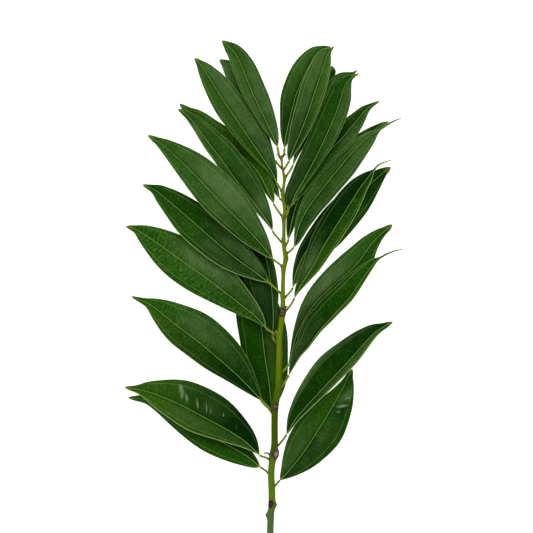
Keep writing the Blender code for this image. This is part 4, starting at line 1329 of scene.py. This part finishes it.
@dataclass
class Leaf:
    """One leaf: a round stalk that widens into a thin blade with a midrib and two side nerves.

    The columns are where the blade's mesh has points across each half, those of nerve_columns
    counted from its nerve. thickness is the blade's, thinner from margin_from out to the margin
    and thicker within rib_spread of the midrib. Where the blade is narrower than narrow_width, it
    is laid off in one shared direction. The margin sways in plan and waves in height. Creases fade
    in between the two half-widths of crease_widths. The stalk starts stalk_gap off the twig's
    round, inside it if that is negative, and both its ends are thicker than its middle. tone_span,
    look_ends and stalk_green are shares of the blade's length.
    """

    shape: LeafShape
    look: LeafLook
    twig: Twig
    skin: bpy.types.Material
    stations: int = 96
    inner_columns: tuple[float, ...] = (0.035, 0.075, 0.13, 0.22, 0.32, 0.43, 0.54)
    nerve_columns: tuple[float, ...] = (-0.09, -0.045, 0.0, 0.045, 0.09)
    rim_columns: tuple[float, ...] = (0.93, 0.975, 1.0)
    sharp_degrees: float = 80.0
    thickness: float = 0.50
    margin_thickness: float = 0.22
    margin_from: float = 0.85
    rib_thickness: float = 1.10
    rib_spread: float = 0.7
    least_half_width: float = 0.26
    narrow_width: float = 8.0
    half_bulge: float = 0.07
    drip_overlap: float = 0.25
    drip_spread: float = 1.1
    taper_power: float = 0.6
    taper_span: Pair = (0.3, 0.6)
    margin_sway: float = 0.015
    sway_radians: float = 19.0
    margin_wave: float = 0.55
    margin_waves: float = 2.3
    midrib: Crease = Crease(ridge=0.30, ridge_width=0.42, groove=0.34, groove_width=1.5)
    nerve: Crease = Crease(ridge=0.12, ridge_width=0.35, groove=0.16, groove_width=1.2)
    crease_widths: Pair = (2.0, 8.0)
    tone_span: Pair = (0.1, 0.9)
    look_ends: float = 0.1
    stalk_green: float = 0.035
    stalk_stations: int = 18
    stalk_radius: float = 0.90
    foot_radius: float = 1.35
    foot_share: float = 0.22
    foot_turn: float = 0.3
    heel_swell: float = 0.25
    stalk_gap: float = -0.15
    stalk_reach: float = 0.3
    stalk_lean: float = 1.2
    stalk_flat_degrees: float = 12.0

    def shares(self) -> np.ndarray:
        """Columns across the blade, 1 at the left margin and -1 at the right, closer at nerves."""
        halves = []
        for side in (0, 1):
            beside = [self.look.half(side).nerve + off for off in self.nerve_columns]
            halves.append([*self.inner_columns, *beside, *self.rim_columns])
        left, right = halves
        return np.array([*left[::-1], 0.0, *[-share for share in right]])

    def length(self) -> float:
        """The blade's length in plan, in millimetres."""
        return float(np.linalg.norm(np.diff(np.array(self.shape.line), axis=0), axis=1).sum())

    def half_width(self, along: np.ndarray, side: int) -> np.ndarray:
        """The plan half-width of one side of the blade at each station."""
        shape = self.shape
        drip = self.look.drip / self.length()
        thread = self.look.tail / self.length()
        body = 1.0 - (self.drip_overlap * drip + thread)
        reach = np.clip(along / body, 0.0, 1.0)
        peak = shape.peak[side]
        below = np.clip(reach / peak, 0.0, 1.0) ** shape.full[side]
        above = np.clip((1.0 - reach) / (1.0 - peak), 0.0, 1.0) ** shape.blunt[side]
        width = shape.wide[side] * np.sin(np.pi / 2 * np.minimum(below, above))
        width = width * (1.0 - bell(np.clip(body - along, 0.0, 1.0), self.drip_spread * drip))
        # The blade narrows in a hollow curve to its drip tip.
        taper = np.clip((1.0 - along) / (drip + thread), 0.0, 1.0) ** self.taper_power
        taper = taper * self.look.point * smoothstep(*self.taper_span, along)
        sway = np.sin(self.sway_radians * along + 0.9 * shape.stem_y + 2.0 * side)
        return self.least_half_width + np.hypot(width * (1.0 + self.margin_sway * sway), taper)

    def midrib_height(self, along: np.ndarray) -> np.ndarray:
        """The parabola through the midrib's height at its base, middle and tip."""
        low, mid, high = self.shape.height
        height = low * (1 - along) * (1 - 2 * along) + high * along * (2 * along - 1)
        return height + 4 * mid * along * (1 - along)

    def surface(self) -> tuple[np.ndarray, np.ndarray, np.ndarray]:
        """The blade's upper face.

        Returns:
            Its points and unit normals, stations by columns by 3, and its half-widths, stations
            by columns.
        """
        shape = self.shape
        shares = self.shares()
        plan = smooth_line(shape.line, self.stations)
        along = np.linspace(0.0, 1.0, self.stations)
        forward = unit(np.gradient(plan, axis=0))
        left = np.stack([-forward[:, 1], forward[:, 0]], axis=1)
        height = self.midrib_height(along)
        phase = 0.7 * len(shape.line) + 0.013 * shape.stem_y
        points = np.empty((self.stations, len(shares), 3))
        halves = np.empty((self.stations, len(shares)))
        for column, share in enumerate(shares):
            side = 0 if share >= 0 else 1
            wide = self.half_width(along, side)
            out = abs(share)
            wave = np.sin(np.pi * along) * np.sin(2 * np.pi * self.margin_waves * along + phase + 2 * side)
            from_nerve = (out - self.look.half(side).nerve) * wide
            creases = self.midrib.height(out * wide) + self.nerve.height(from_nerve)
            points[:, column, :2] = plan + left * (share * wide)[:, None]
            points[:, column, 2] = (
                height
                + wide * (shape.slope[side] * out + 4 * self.half_bulge * out * (1 - out))
                + self.margin_wave * wave * out**2
                + smoothstep(*self.crease_widths, wide) * creases
            )
            halves[:, column] = wide
        normal = unit(np.cross(np.gradient(points, axis=0), -np.gradient(points, axis=1)))
        return points, normal, halves

    def underside(self, points: np.ndarray, normal: np.ndarray, halves: np.ndarray) -> np.ndarray:
        """The blade's lower face, below the points of the upper one."""
        spread = np.linalg.norm(points[:, 0] - points[:, -1], axis=1)
        broad = np.clip(spread / self.narrow_width, 0.0, 1.0)[:, None, None]
        shared = normal.mean(axis=1, keepdims=True)
        normal = unit(broad * normal + (1.0 - broad) * shared)
        out = np.abs(self.shares())[None, :, None]
        thinner = (self.margin_thickness - self.thickness) * smoothstep(self.margin_from, 1.0, out)
        at_rib = bell(out * halves[:, :, None], self.rib_spread)
        thicker = (self.rib_thickness - self.thickness) * broad * at_rib
        return points - normal * (self.thickness + thinner + thicker)

    def stalk(self, base: np.ndarray, forward: np.ndarray, left: np.ndarray, corners: int) -> np.ndarray:
        """Round sections from the twig's skin to the blade's base.

        Args:
            base: The middle of the blade's first section.
            forward: The way that the blade leaves it.
            left: The blade's left at its base.
            corners: How many columns the blade's upper face has.

        Returns:
            The sections, the one on the twig first.
        """
        middle, radius = self.twig.place(self.shape.stem_y)
        further, _ = self.twig.place(self.shape.stem_y + 1.0)
        along_stem = unit(further - middle)
        out = outward(np.radians(self.shape.stem_angle))
        out = unit(out - along_stem * (out @ along_stem))
        start = middle + out * (radius + self.stalk_gap)
        reach = self.stalk_reach * np.linalg.norm(base - start)
        lead = unit(out + self.stalk_lean * along_stem)
        controls = (start, start + lead * reach, base - forward * reach, base)
        flat = self.stalk_flat_degrees
        half = np.radians(np.linspace(flat, 180.0 - flat, corners))
        turns = np.concatenate([half, -half[::-1]])
        rings = []
        side = left
        for step in np.linspace(0.0, 1.0, self.stalk_stations, endpoint=False)[::-1]:
            rest = 1.0 - step
            weights = (rest**3, 3 * rest**2 * step, 3 * rest * step**2, step**3)
            point = sum(weight * control for weight, control in zip(weights, controls))
            slopes = (3 * rest**2, 6 * rest * step, 3 * step**2)
            ahead = sum(slope * (end - begin) for slope, begin, end in zip(slopes, controls, controls[1:]))
            # The foot turns until it lies flat on the twig's skin.
            turned = smoothstep(0.0, self.foot_turn, step)
            ahead = unit(unit(ahead) * turned + out * (1 - turned))
            side = unit(side - ahead * (side @ ahead))
            up = np.cross(ahead, side)
            heel = self.heel_swell * smoothstep(0.8, 1.0, step)
            swell = 1.0 - smoothstep(0.0, self.foot_share, step) + heel
            size = self.stalk_radius + (self.foot_radius - self.stalk_radius) * swell
            rings.append(point + size * self.look.stalk * spokes(turns, side, up))
        return np.array(rings[::-1])

    def looks(self, shares: np.ndarray, along: np.ndarray) -> np.ndarray:
        """The skin's green with its painted shade, its painted sheen and its painted light, stations by
        columns by 3.
        """
        made = np.empty((len(along), len(shares), 3))
        onward = smoothstep(*self.tone_span, along)
        ends = smoothstep(0.0, self.look_ends, along) * smoothstep(1.0, 1.0 - self.look_ends, along)
        for column, share in enumerate(shares):
            half = self.look.half(0 if share > 0 else 1)
            out = abs(share)
            lobe = smoothstep(0.02, 0.22, out) * (1.0 - 0.30 * smoothstep(0.75, 0.97, out))
            for place, pair, reach in (
                (0, half.tone, 1.0),
                (1, half.painted_sheen, lobe * ends),
                (2, half.sun, smoothstep(0.0, 0.25, out)),
            ):
                made[:, column, place] = (pair[0] + (pair[1] - pair[0]) * onward) * reach
        for patch in self.look.patches:
            spot = patch.field(along[:, None], shares[None, :])
            made[:, :, 0] += patch.tone * spot
            made[:, :, 1] += patch.painted_sheen * spot
        return np.clip(made, -0.3, 1.3)

    def paint(self, solid: Solid, midrib: np.ndarray, halves: np.ndarray) -> None:
        """Keeps on the leaf's skin the numbers that its finish reads.

        Args:
            solid: The leaf.
            midrib: The points of the blade's middle column.
            halves: The blade's half-widths, stations by columns.
        """
        shares = self.shares()
        along = np.linspace(0.0, 1.0, self.stations)
        length = np.linalg.norm(np.diff(midrib, axis=0), axis=1).sum()
        sides = [self.look.half(0 if share > 0 else 1) for share in shares]
        place = np.empty((*halves.shape, 3))
        place[:, :, 0] = shares * halves
        # Each leaf starts at another place in the noises, so that their veins differ.
        place[:, :, 1] = along[:, None] * length + 17.0 * (self.shape.stem_y % 7.0)
        place[:, :, 2] = halves
        plan = np.empty_like(place)
        plan[:, :, 0] = along[:, None]
        plan[:, :, 1] = [half.nerve for half in sides]
        plan[:, :, 2] = [half.edge for half in sides]
        wet = np.zeros_like(halves)
        for patch in self.look.wet:
            wet = np.maximum(wet, patch.field(along[:, None], shares[None, :]))
        solid.mark("place", self.wrapped(place))
        solid.mark("plan", self.wrapped(plan))
        solid.mark("looks", self.wrapped(self.looks(shares, along)))
        solid.mark("wet", self.wrapped(wet))
        solid.mark("veined", np.full(len(solid.rings), self.look.veins))
        on_stalk = np.linspace(2.0, 1.0, self.stalk_stations)
        solid.mark("stalk", np.concatenate([on_stalk, 1.0 - smoothstep(0.0, self.stalk_green, along)]))
        below = np.zeros(solid.rings.shape[:2])
        below[self.stalk_stations:, len(shares):] = 1.0
        solid.mark("under", below)

    def wrapped(self, values: np.ndarray) -> np.ndarray:
        """Numbers of the upper face, repeated for the lower one and for the stalk."""
        both = np.concatenate([values, values[:, ::-1]], axis=1)
        foot = np.repeat(both[:1], self.stalk_stations, axis=0)
        return np.concatenate([foot, both])

    def build(self) -> bpy.types.Object:
        """Makes the leaf in one piece."""
        points, normal, halves = self.surface()
        under = self.underside(points, normal, halves)
        count = points.shape[1]
        midrib, midrib_under = points[:, count // 2], under[:, count // 2]
        forward = unit(midrib[1] - midrib[0])
        left = unit(points[0, 0] - points[0, -1])
        stalk = self.stalk((midrib[0] + midrib_under[0]) / 2, forward, left, count)
        blade = np.concatenate([points, under[:, ::-1]], axis=1)
        solid = Solid(self.shape.name, np.concatenate([stalk, blade]))
        self.paint(solid, midrib, halves)
        return solid.build(self.skin, self.sharp_degrees)


@dataclass
class TwigPart:
    """Something small that grows on the twig, at plan position y and an angle round it."""

    name: str
    dry: Dry
    y: float
    degrees: float

    def out(self) -> np.ndarray:
        """The direction away from the twig where the part grows."""
        return outward(np.radians(self.degrees))

    def root(self, twig: Twig, depth: float) -> np.ndarray:
        """The part's first point, that many millimetres inside the twig's round."""
        middle, radius = twig.place(self.y)
        return middle + self.out() * (radius - depth)


@dataclass
class Bud(TwigPart):
    """A small scaly bud that sits against the twig."""

    length: float
    width: float
    lean: float = 0.8
    depth: float = 0.45
    tip_radius: float = 0.03
    sides: int = 20
    stations: int = 18
    sharp_degrees: float = 70.0

    def build(self, twig: Twig, finish: bpy.types.Material) -> bpy.types.Object:
        """Makes the bud on the twig's skin."""
        ahead = unit(self.out() + self.lean * ALONG_TWIG)
        start = self.root(twig, self.depth)
        side = unit(np.cross(ahead, np.array([0.1, -0.2, 1.0])))
        angles = full_turn(self.sides)
        around = spokes(angles, side, np.cross(side, ahead))
        rings = []
        for step in np.linspace(0.0, 1.0, self.stations):
            size = self.width * np.sqrt(1.0 - step**2) * (0.75 + 0.6 * step * (1 - step)) + self.tip_radius
            scales = 1.0 + 0.10 * np.sin(3 * angles + 9.0 * step) + 0.06 * np.sin(14.0 * step)
            rings.append(start + ahead * step * self.length + (size * scales)[:, None] * around)
        return Solid(self.name, np.array(rings)).build(finish, self.sharp_degrees)


@dataclass
class Stub(TwigPart):
    """The short dry end of a stalk whose leaf or flower has dropped."""

    length: float
    radius: float
    curve: Curve = Curve.STRAIGHT
    depth: float = 0.5
    lean: float = 0.55
    hook_swing: float = 0.35
    hook_drop: float = 0.25
    knob_at: float = 0.94
    knob_spread: float = 0.09
    knob_swell: float = 0.45
    sides: int = 14
    stations: int = 22
    sharp_degrees: float = 70.0

    def build(self, twig: Twig, finish: bpy.types.Material) -> bpy.types.Object:
        """Makes the stub on the twig's skin."""
        out = self.out()
        start = self.root(twig, self.depth)
        hook = self.curve.value
        steps = np.linspace(0.0, 1.0, self.stations)
        swing = hook * self.hook_swing * np.sin(np.pi * steps)
        rise = self.lean * steps + swing - hook * self.hook_drop * steps
        line = start + self.length * (out * steps[:, None] + ALONG_TWIG * rise[:, None])
        forward = unit(np.gradient(line, axis=0))
        side = unit(np.cross(forward, np.array([0.0, 0.1, 1.0])))
        up = np.cross(side, forward)
        angles = full_turn(self.sides)
        rings = []
        for step, point, across, over in zip(steps, line, side, up):
            knob = self.knob_swell * bell(step - self.knob_at, self.knob_spread)
            size = self.radius * (1.25 - 0.45 * step + knob + 0.05 * np.sin(22 * step))
            size = size * np.sqrt(max(0.02, 1.0 - smoothstep(0.93, 1.0, step)))
            rings.append(point + size * spokes(angles, across, over))
        return Solid(self.name, np.array(rings)).build(finish, self.sharp_degrees)


@dataclass
class Scar(TwigPart):
    """The oval mark of an old side shoot: a raised dark lip round a pale, cracked middle."""

    half_length: float
    half_width: float
    height: float
    lip_at: float = 0.72
    lip_spread: float = 0.16
    depth: float = 0.06
    inmost: float = 0.12
    circles: int = 14
    sides: int = 40
    sharp_degrees: float = 80.0

    def build(self, twig: Twig, finish: bpy.types.Material) -> bpy.types.Object:
        """Makes the scar on the twig's skin."""
        shares = np.array([0.0, *np.linspace(self.inmost, 1.0, self.circles - 1)])[::-1]
        around = full_turn(self.sides)
        rings = []
        for far in shares:
            lip = bell(far - self.lip_at, self.lip_spread)
            lumps = 0.16 * np.sin(3 * around + 7 * far) + 0.12 * np.sin(5 * around - 4 * far)
            tall = self.height * ((1.0 - far**2) * (0.55 + lumps) + 0.45 * lip) - 0.3 * far**6
            wavy = far * (1.0 + 0.07 * np.sin(2 * around + 1.0) + 0.05 * np.sin(5 * around))
            along = self.y + self.half_length * wavy * np.sin(around)
            off = self.half_width * wavy * np.cos(around)
            ring = []
            for y, sideways, high in zip(along, off, tall):
                _, radius = twig.place(y)
                turn = np.radians(self.degrees) - sideways / radius
                ring.append(twig.skin(y, turn) + outward(turn) * (high - self.depth))
            rings.append(ring)
        made = Solid(self.name, np.array(rings))
        made.mark("rim", shares)
        return made.build(finish, self.sharp_degrees)


DRY_FINISHES: dict[Dry, BudFinish | ScarFinish] = {
    Dry.BROWN: BudFinish((0.10, 0.055, 0.025), (0.20, 0.14, 0.06)),
    Dry.PALE: BudFinish((0.30, 0.30, 0.16), (0.18, 0.15, 0.06)),
    Dry.GREEN: BudFinish((0.15, 0.18, 0.02), (0.10, 0.07, 0.02)),
    Dry.CORK: ScarFinish((0.230, 0.150, 0.095), (0.430, 0.340, 0.250)),
    Dry.DARK_CORK: ScarFinish((0.024, 0.015, 0.008), (0.075, 0.052, 0.032), lip=(0.008, 0.005, 0.003)),
    Dry.ROUGH: ScarFinish((0.090, 0.052, 0.014), (0.210, 0.160, 0.070), lip=(0.026, 0.015, 0.005)),
}

TWIG_PARTS: tuple[Bud | Stub | Scar, ...] = (
    Bud("bud_low_right", Dry.PALE, 141.5, 15.0, length=2.6, width=1.0),
    Bud("bud_middle_left", Dry.PALE, 190.0, 150.0, length=3.6, width=1.3),
    Bud("bud_node_right", Dry.BROWN, 213.0, 20.0, length=3.0, width=1.1),
    Bud("bud_node_left", Dry.BROWN, 225.0, 165.0, length=2.2, width=0.9),
    Bud("bud_upper_left", Dry.PALE, 248.5, 160.0, length=2.6, width=0.9),
    Bud("bud_high_left", Dry.BROWN, 274.5, 160.0, length=2.2, width=0.8),
    Bud("bud_high_node", Dry.BROWN, 317.0, 175.0, length=2.4, width=0.9),
    Bud("bud_tip", Dry.GREEN, 349.0, 60.0, length=3.4, width=0.75),
    Stub("stub_low_left", Dry.GREEN, 79.5, 180.0, length=5.6, radius=0.75, curve=Curve.HOOKED),
    Stub("stub_upper_right", Dry.BROWN, 262.5, 20.0, length=2.2, radius=0.55),
    Stub("stub_tip_left", Dry.GREEN, 348.5, 150.0, length=5.0, radius=0.45),
    Stub("stub_tip_right", Dry.GREEN, 348.5, 40.0, length=4.6, radius=0.5),
    Scar("scar_cut", Dry.DARK_CORK, 36.0, 112.0, half_length=4.4, half_width=2.6, height=0.9),
    Scar("scar_low", Dry.CORK, 81.5, 44.0, half_length=5.4, half_width=3.9, height=0.9),
    Scar("scar_node", Dry.ROUGH, 124.0, 88.0, half_length=4.0, half_width=2.6, height=0.7),
    Scar("scar_middle", Dry.ROUGH, 209.0, 95.0, half_length=5.2, half_width=2.8, height=0.9),
)


@dataclass
class Studio:
    """The bright white table, the soft lights and the camera above.

    eye_level_mm is the height of the plane that is framed as the photograph is. The sky's light
    goes from world_light to world_top between the two heights of sky_from.
    """

    camera_height: float = 6.0
    eye_level_mm: float = 14.0
    table_size: float = 60.0
    table_gap_mm: float = 0.4
    table_white: Triple = (0.8, 0.8, 0.8)
    table_roughness: float = 0.9
    table_glow: float = 0.92
    light_distance: float = 2.2
    light_size: float = 1.4
    world_light: float = 0.30
    world_top: float = 0.0
    sky_from: Pair = (0.30, 0.70)

    def table(self) -> None:
        """The white table, which glows a little so that it stays white under the leaves."""
        half = self.table_size / 2
        mesh = bpy.data.meshes.new("table")
        corners = [(-half, -half, 0.0), (half, -half, 0.0), (half, half, 0.0), (-half, half, 0.0)]
        mesh.from_pydata(corners, [], [(0, 1, 2, 3)])
        shader = Shader(bpy.data.materials.new("white_table"))
        glow = {"Emission_Color": (1.0, 1.0, 1.0, 1.0), "Emission_Strength": self.table_glow}
        mesh.materials.append(shader.finish(self.table_white, self.table_roughness, **glow))
        made = bpy.data.objects.new("table", mesh)
        made.location.z = -self.table_gap_mm * MM
        bpy.context.scene.collection.objects.link(made)

    def world(self) -> None:
        """A pale sky that is darker overhead, so the waxy skin stays green from above."""
        world = bpy.data.worlds.new("studio")
        bpy.context.scene.world = world
        sky = Shader(world)
        _, _, up = sky.parts(sky.place("Generated"))
        light = sky.smooth_range(up, *self.sky_from, self.world_light, self.world_top)
        background = sky.node("ShaderNodeBackground", {}, {"Color": light, "Strength": 1.0})
        sky.node("ShaderNodeOutputWorld", {}, {0: background.outputs[0]})

    def light(self, name: str, azimuth: float, elevation: float, watts: float) -> None:
        """One square soft light that faces the branch.

        Args:
            name: The light's name.
            azimuth: Where it stands, in degrees clockwise from +Y as seen from above.
            elevation: How high it stands, in degrees above the table.
            watts: Its power.
        """
        lamp = bpy.data.lights.new(name, "AREA")
        lamp.energy = watts
        lamp.size = self.light_size
        made = bpy.data.objects.new(name, lamp)
        round_it, up = np.radians(azimuth), np.radians(elevation)
        flat = self.light_distance * np.cos(up)
        made.location = (flat * np.sin(round_it), flat * np.cos(round_it), self.light_distance * np.sin(up))
        made.rotation_mode = "QUATERNION"
        made.rotation_quaternion = (-made.location).to_track_quat("-Z", "Y")
        made.visible_camera = False
        bpy.context.scene.collection.objects.link(made)

    def camera(self) -> None:
        """The camera straight above, framed as the photograph is."""
        view = bpy.data.cameras.new("above")
        view.sensor_width = 36.0
        width = PICTURE_PIXELS * PIXEL_MM * MM
        view.lens = view.sensor_width * self.camera_height / width
        view.clip_end = 100.0
        made = bpy.data.objects.new("above", view)
        middle = [(PICTURE_MIDDLE[axis] - PLAN_CENTRE[axis]) * MM for axis in (0, 1)]
        made.location = (*middle, self.camera_height + self.eye_level_mm * MM)
        bpy.context.scene.collection.objects.link(made)
        bpy.context.scene.camera = made

    def build(self) -> None:
        """Sets up the whole studio."""
        self.table()
        self.world()
        self.light("far_softbox", 10.0, 60.0, 22.0)
        self.light("near_softbox", 190.0, 50.0, 10.0)
        self.light("left_softbox", 275.0, 50.0, 10.0)
        self.light("right_softbox", 85.0, 50.0, 10.0)
        self.camera()
        bpy.context.scene.view_settings.view_transform = "Standard"


def lay(piece: bpy.types.Object, node: str = "") -> None:
    """Lets a piece ride with the branch and reports it.

    Args:
        piece: The piece.
        node: The solid that it stands for, if it stands for one.
    """
    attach(piece, BODY)
    if node:
        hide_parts(node)
    LOG.info("%s: %d faces", piece.name, len(piece.data.polygons))


def main() -> None:
    """Builds the twig, its leaves and its small parts, and lays them in the studio."""
    logging.basicConfig(level=logging.INFO, format="%(name)s: %(message)s")
    twig = Twig(BarkFinish().material())
    lay(twig.build(), "stem")
    skin = LeafFinish().material()
    for shape in LEAVES:
        blade = Leaf(shape, LOOKS[shape.name], twig, skin).build()
        blade.name = shape.name + "_blade"
        lay(blade, shape.name)
    finishes = {dry: finish.material(dry.value) for dry, finish in DRY_FINISHES.items()}
    for part in TWIG_PARTS:
        lay(part.build(twig, finishes[part.dry]))
    Studio().build()


if __name__ == "__main__":
    main()
